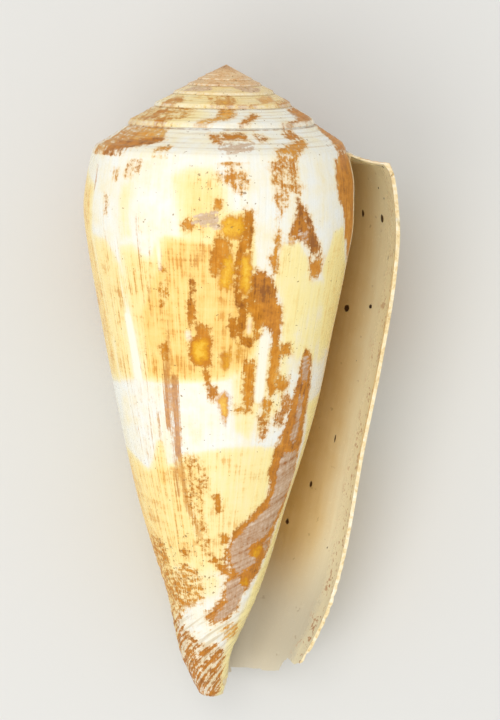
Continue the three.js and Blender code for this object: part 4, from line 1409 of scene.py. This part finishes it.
def dress(shell):
    """Gives each face the material of its kind of surface."""
    mesh = shell.data
    mesh.materials.clear()
    for material in (outer_material(), inner_material(), edge_material()):
        mesh.materials.append(material)
    corners = np.zeros(len(mesh.loops) * 3, np.float32)
    mesh.attributes["coil"].data.foreach_get("vector", corners)
    first = np.zeros(len(mesh.polygons), np.int32)
    mesh.polygons.foreach_get("loop_start", first)
    zone = np.clip(np.rint(corners.reshape(-1, 3)[first, 2]), OUTER_ZONE, EDGE_ZONE).astype(np.int32)
    mesh.polygons.foreach_set("material_index", zone)


# Camera: fitted to the photo, looking down on the mouth with the apex up in the picture
VIEW_TARGET = np.array([0, 0, 12.0])
VIEW_LEAN = math.radians(1.558)
VIEW_ROLL = math.radians(-1.318)
VIEW_DISTANCE = 370
PHOTO_WIDTH = 500
PHOTO_HEIGHT = 720
PIXELS_PER_MM = 10.621
TARGET_X = 237.8
TARGET_Y = 382.95
SENSOR_WIDTH = 36

# Lights and floor, in metres and watts
DAYLIGHT = 0.82
LIGHT_AIM = (0, 0, 0.01)
LIGHT_SIZE = 0.4
LIGHT_COLOUR = (1, 0.98, 0.95)
WINDOW_SPOT = (-0.12, 0.12, 0.6)
WINDOW_POWER = 0.65
FILL_SPOT = (-0.22, -0.25, 0.5)
FILL_POWER = 1
FLOOR_HALF = 0.6


def add_camera():
    data = bpy.data.cameras.new("camera")
    camera = put_in_scene("camera", data)
    back = np.array([0, -math.sin(VIEW_LEAN), math.cos(VIEW_LEAN)])
    right = np.cross([0, 1, 0], back)
    right /= np.linalg.norm(right)
    right, up = rotated(right, np.cross(back, right), VIEW_ROLL)
    across = (PHOTO_WIDTH / 2 - TARGET_X) / PIXELS_PER_MM
    upward = (TARGET_Y - PHOTO_HEIGHT / 2) / PIXELS_PER_MM
    spot = (VIEW_TARGET + back * VIEW_DISTANCE + right * across + up * upward) * MM
    turned = Matrix([list(right), list(up), list(back)]).transposed().to_4x4()
    camera.matrix_world = Matrix.Translation(Vector(spot)) @ turned
    data.sensor_fit = "HORIZONTAL"
    data.sensor_width = SENSOR_WIDTH
    data.lens = PIXELS_PER_MM * VIEW_DISTANCE / PHOTO_WIDTH * SENSOR_WIDTH
    data.clip_start = 0.01
    bpy.context.scene.camera = camera


def add_area_light(name, spot, power):
    data = bpy.data.lights.new(name, "AREA")
    data.shape = "DISK"
    data.size = LIGHT_SIZE
    data.energy = power
    data.color = LIGHT_COLOUR
    light = put_in_scene(name, data)
    light.location = spot
    light.rotation_euler = (Vector(LIGHT_AIM) - Vector(spot)).to_track_quat("-Z", "Y").to_euler()


def add_light():
    world = bpy.data.worlds.new("world")
    bpy.context.scene.world = world
    world.use_nodes = True
    shade = world.node_tree.nodes["Background"]
    shade.inputs["Color"].default_value = (1, 1, 1, 1)
    shade.inputs["Strength"].default_value = DAYLIGHT
    add_area_light("window", WINDOW_SPOT, WINDOW_POWER)
    add_area_light("fill", FILL_SPOT, FILL_POWER)


def add_floor():
    half = FLOOR_HALF
    mesh = bpy.data.meshes.new("floor")
    corners = [(-half, -half, 0), (half, -half, 0), (half, half, 0), (-half, half, 0)]
    mesh.from_pydata(corners, [], [(0, 1, 2, 3)])
    floor = put_in_scene("floor", mesh)
    material = bpy.data.materials.new("floor_paper")
    material.use_nodes = True
    shader = material.node_tree.nodes["Principled BSDF"]
    shader.inputs["Base Color"].default_value = (0.7, 0.7, 0.68, 1)
    shader.inputs["Roughness"].default_value = 0.9
    mesh.materials.append(material)


shell = build_shell()
dress(shell)
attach(shell, "root")
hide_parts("shell")
add_floor()
add_light()
add_camera()
bpy.context.scene.view_settings.view_transform = "Standard"
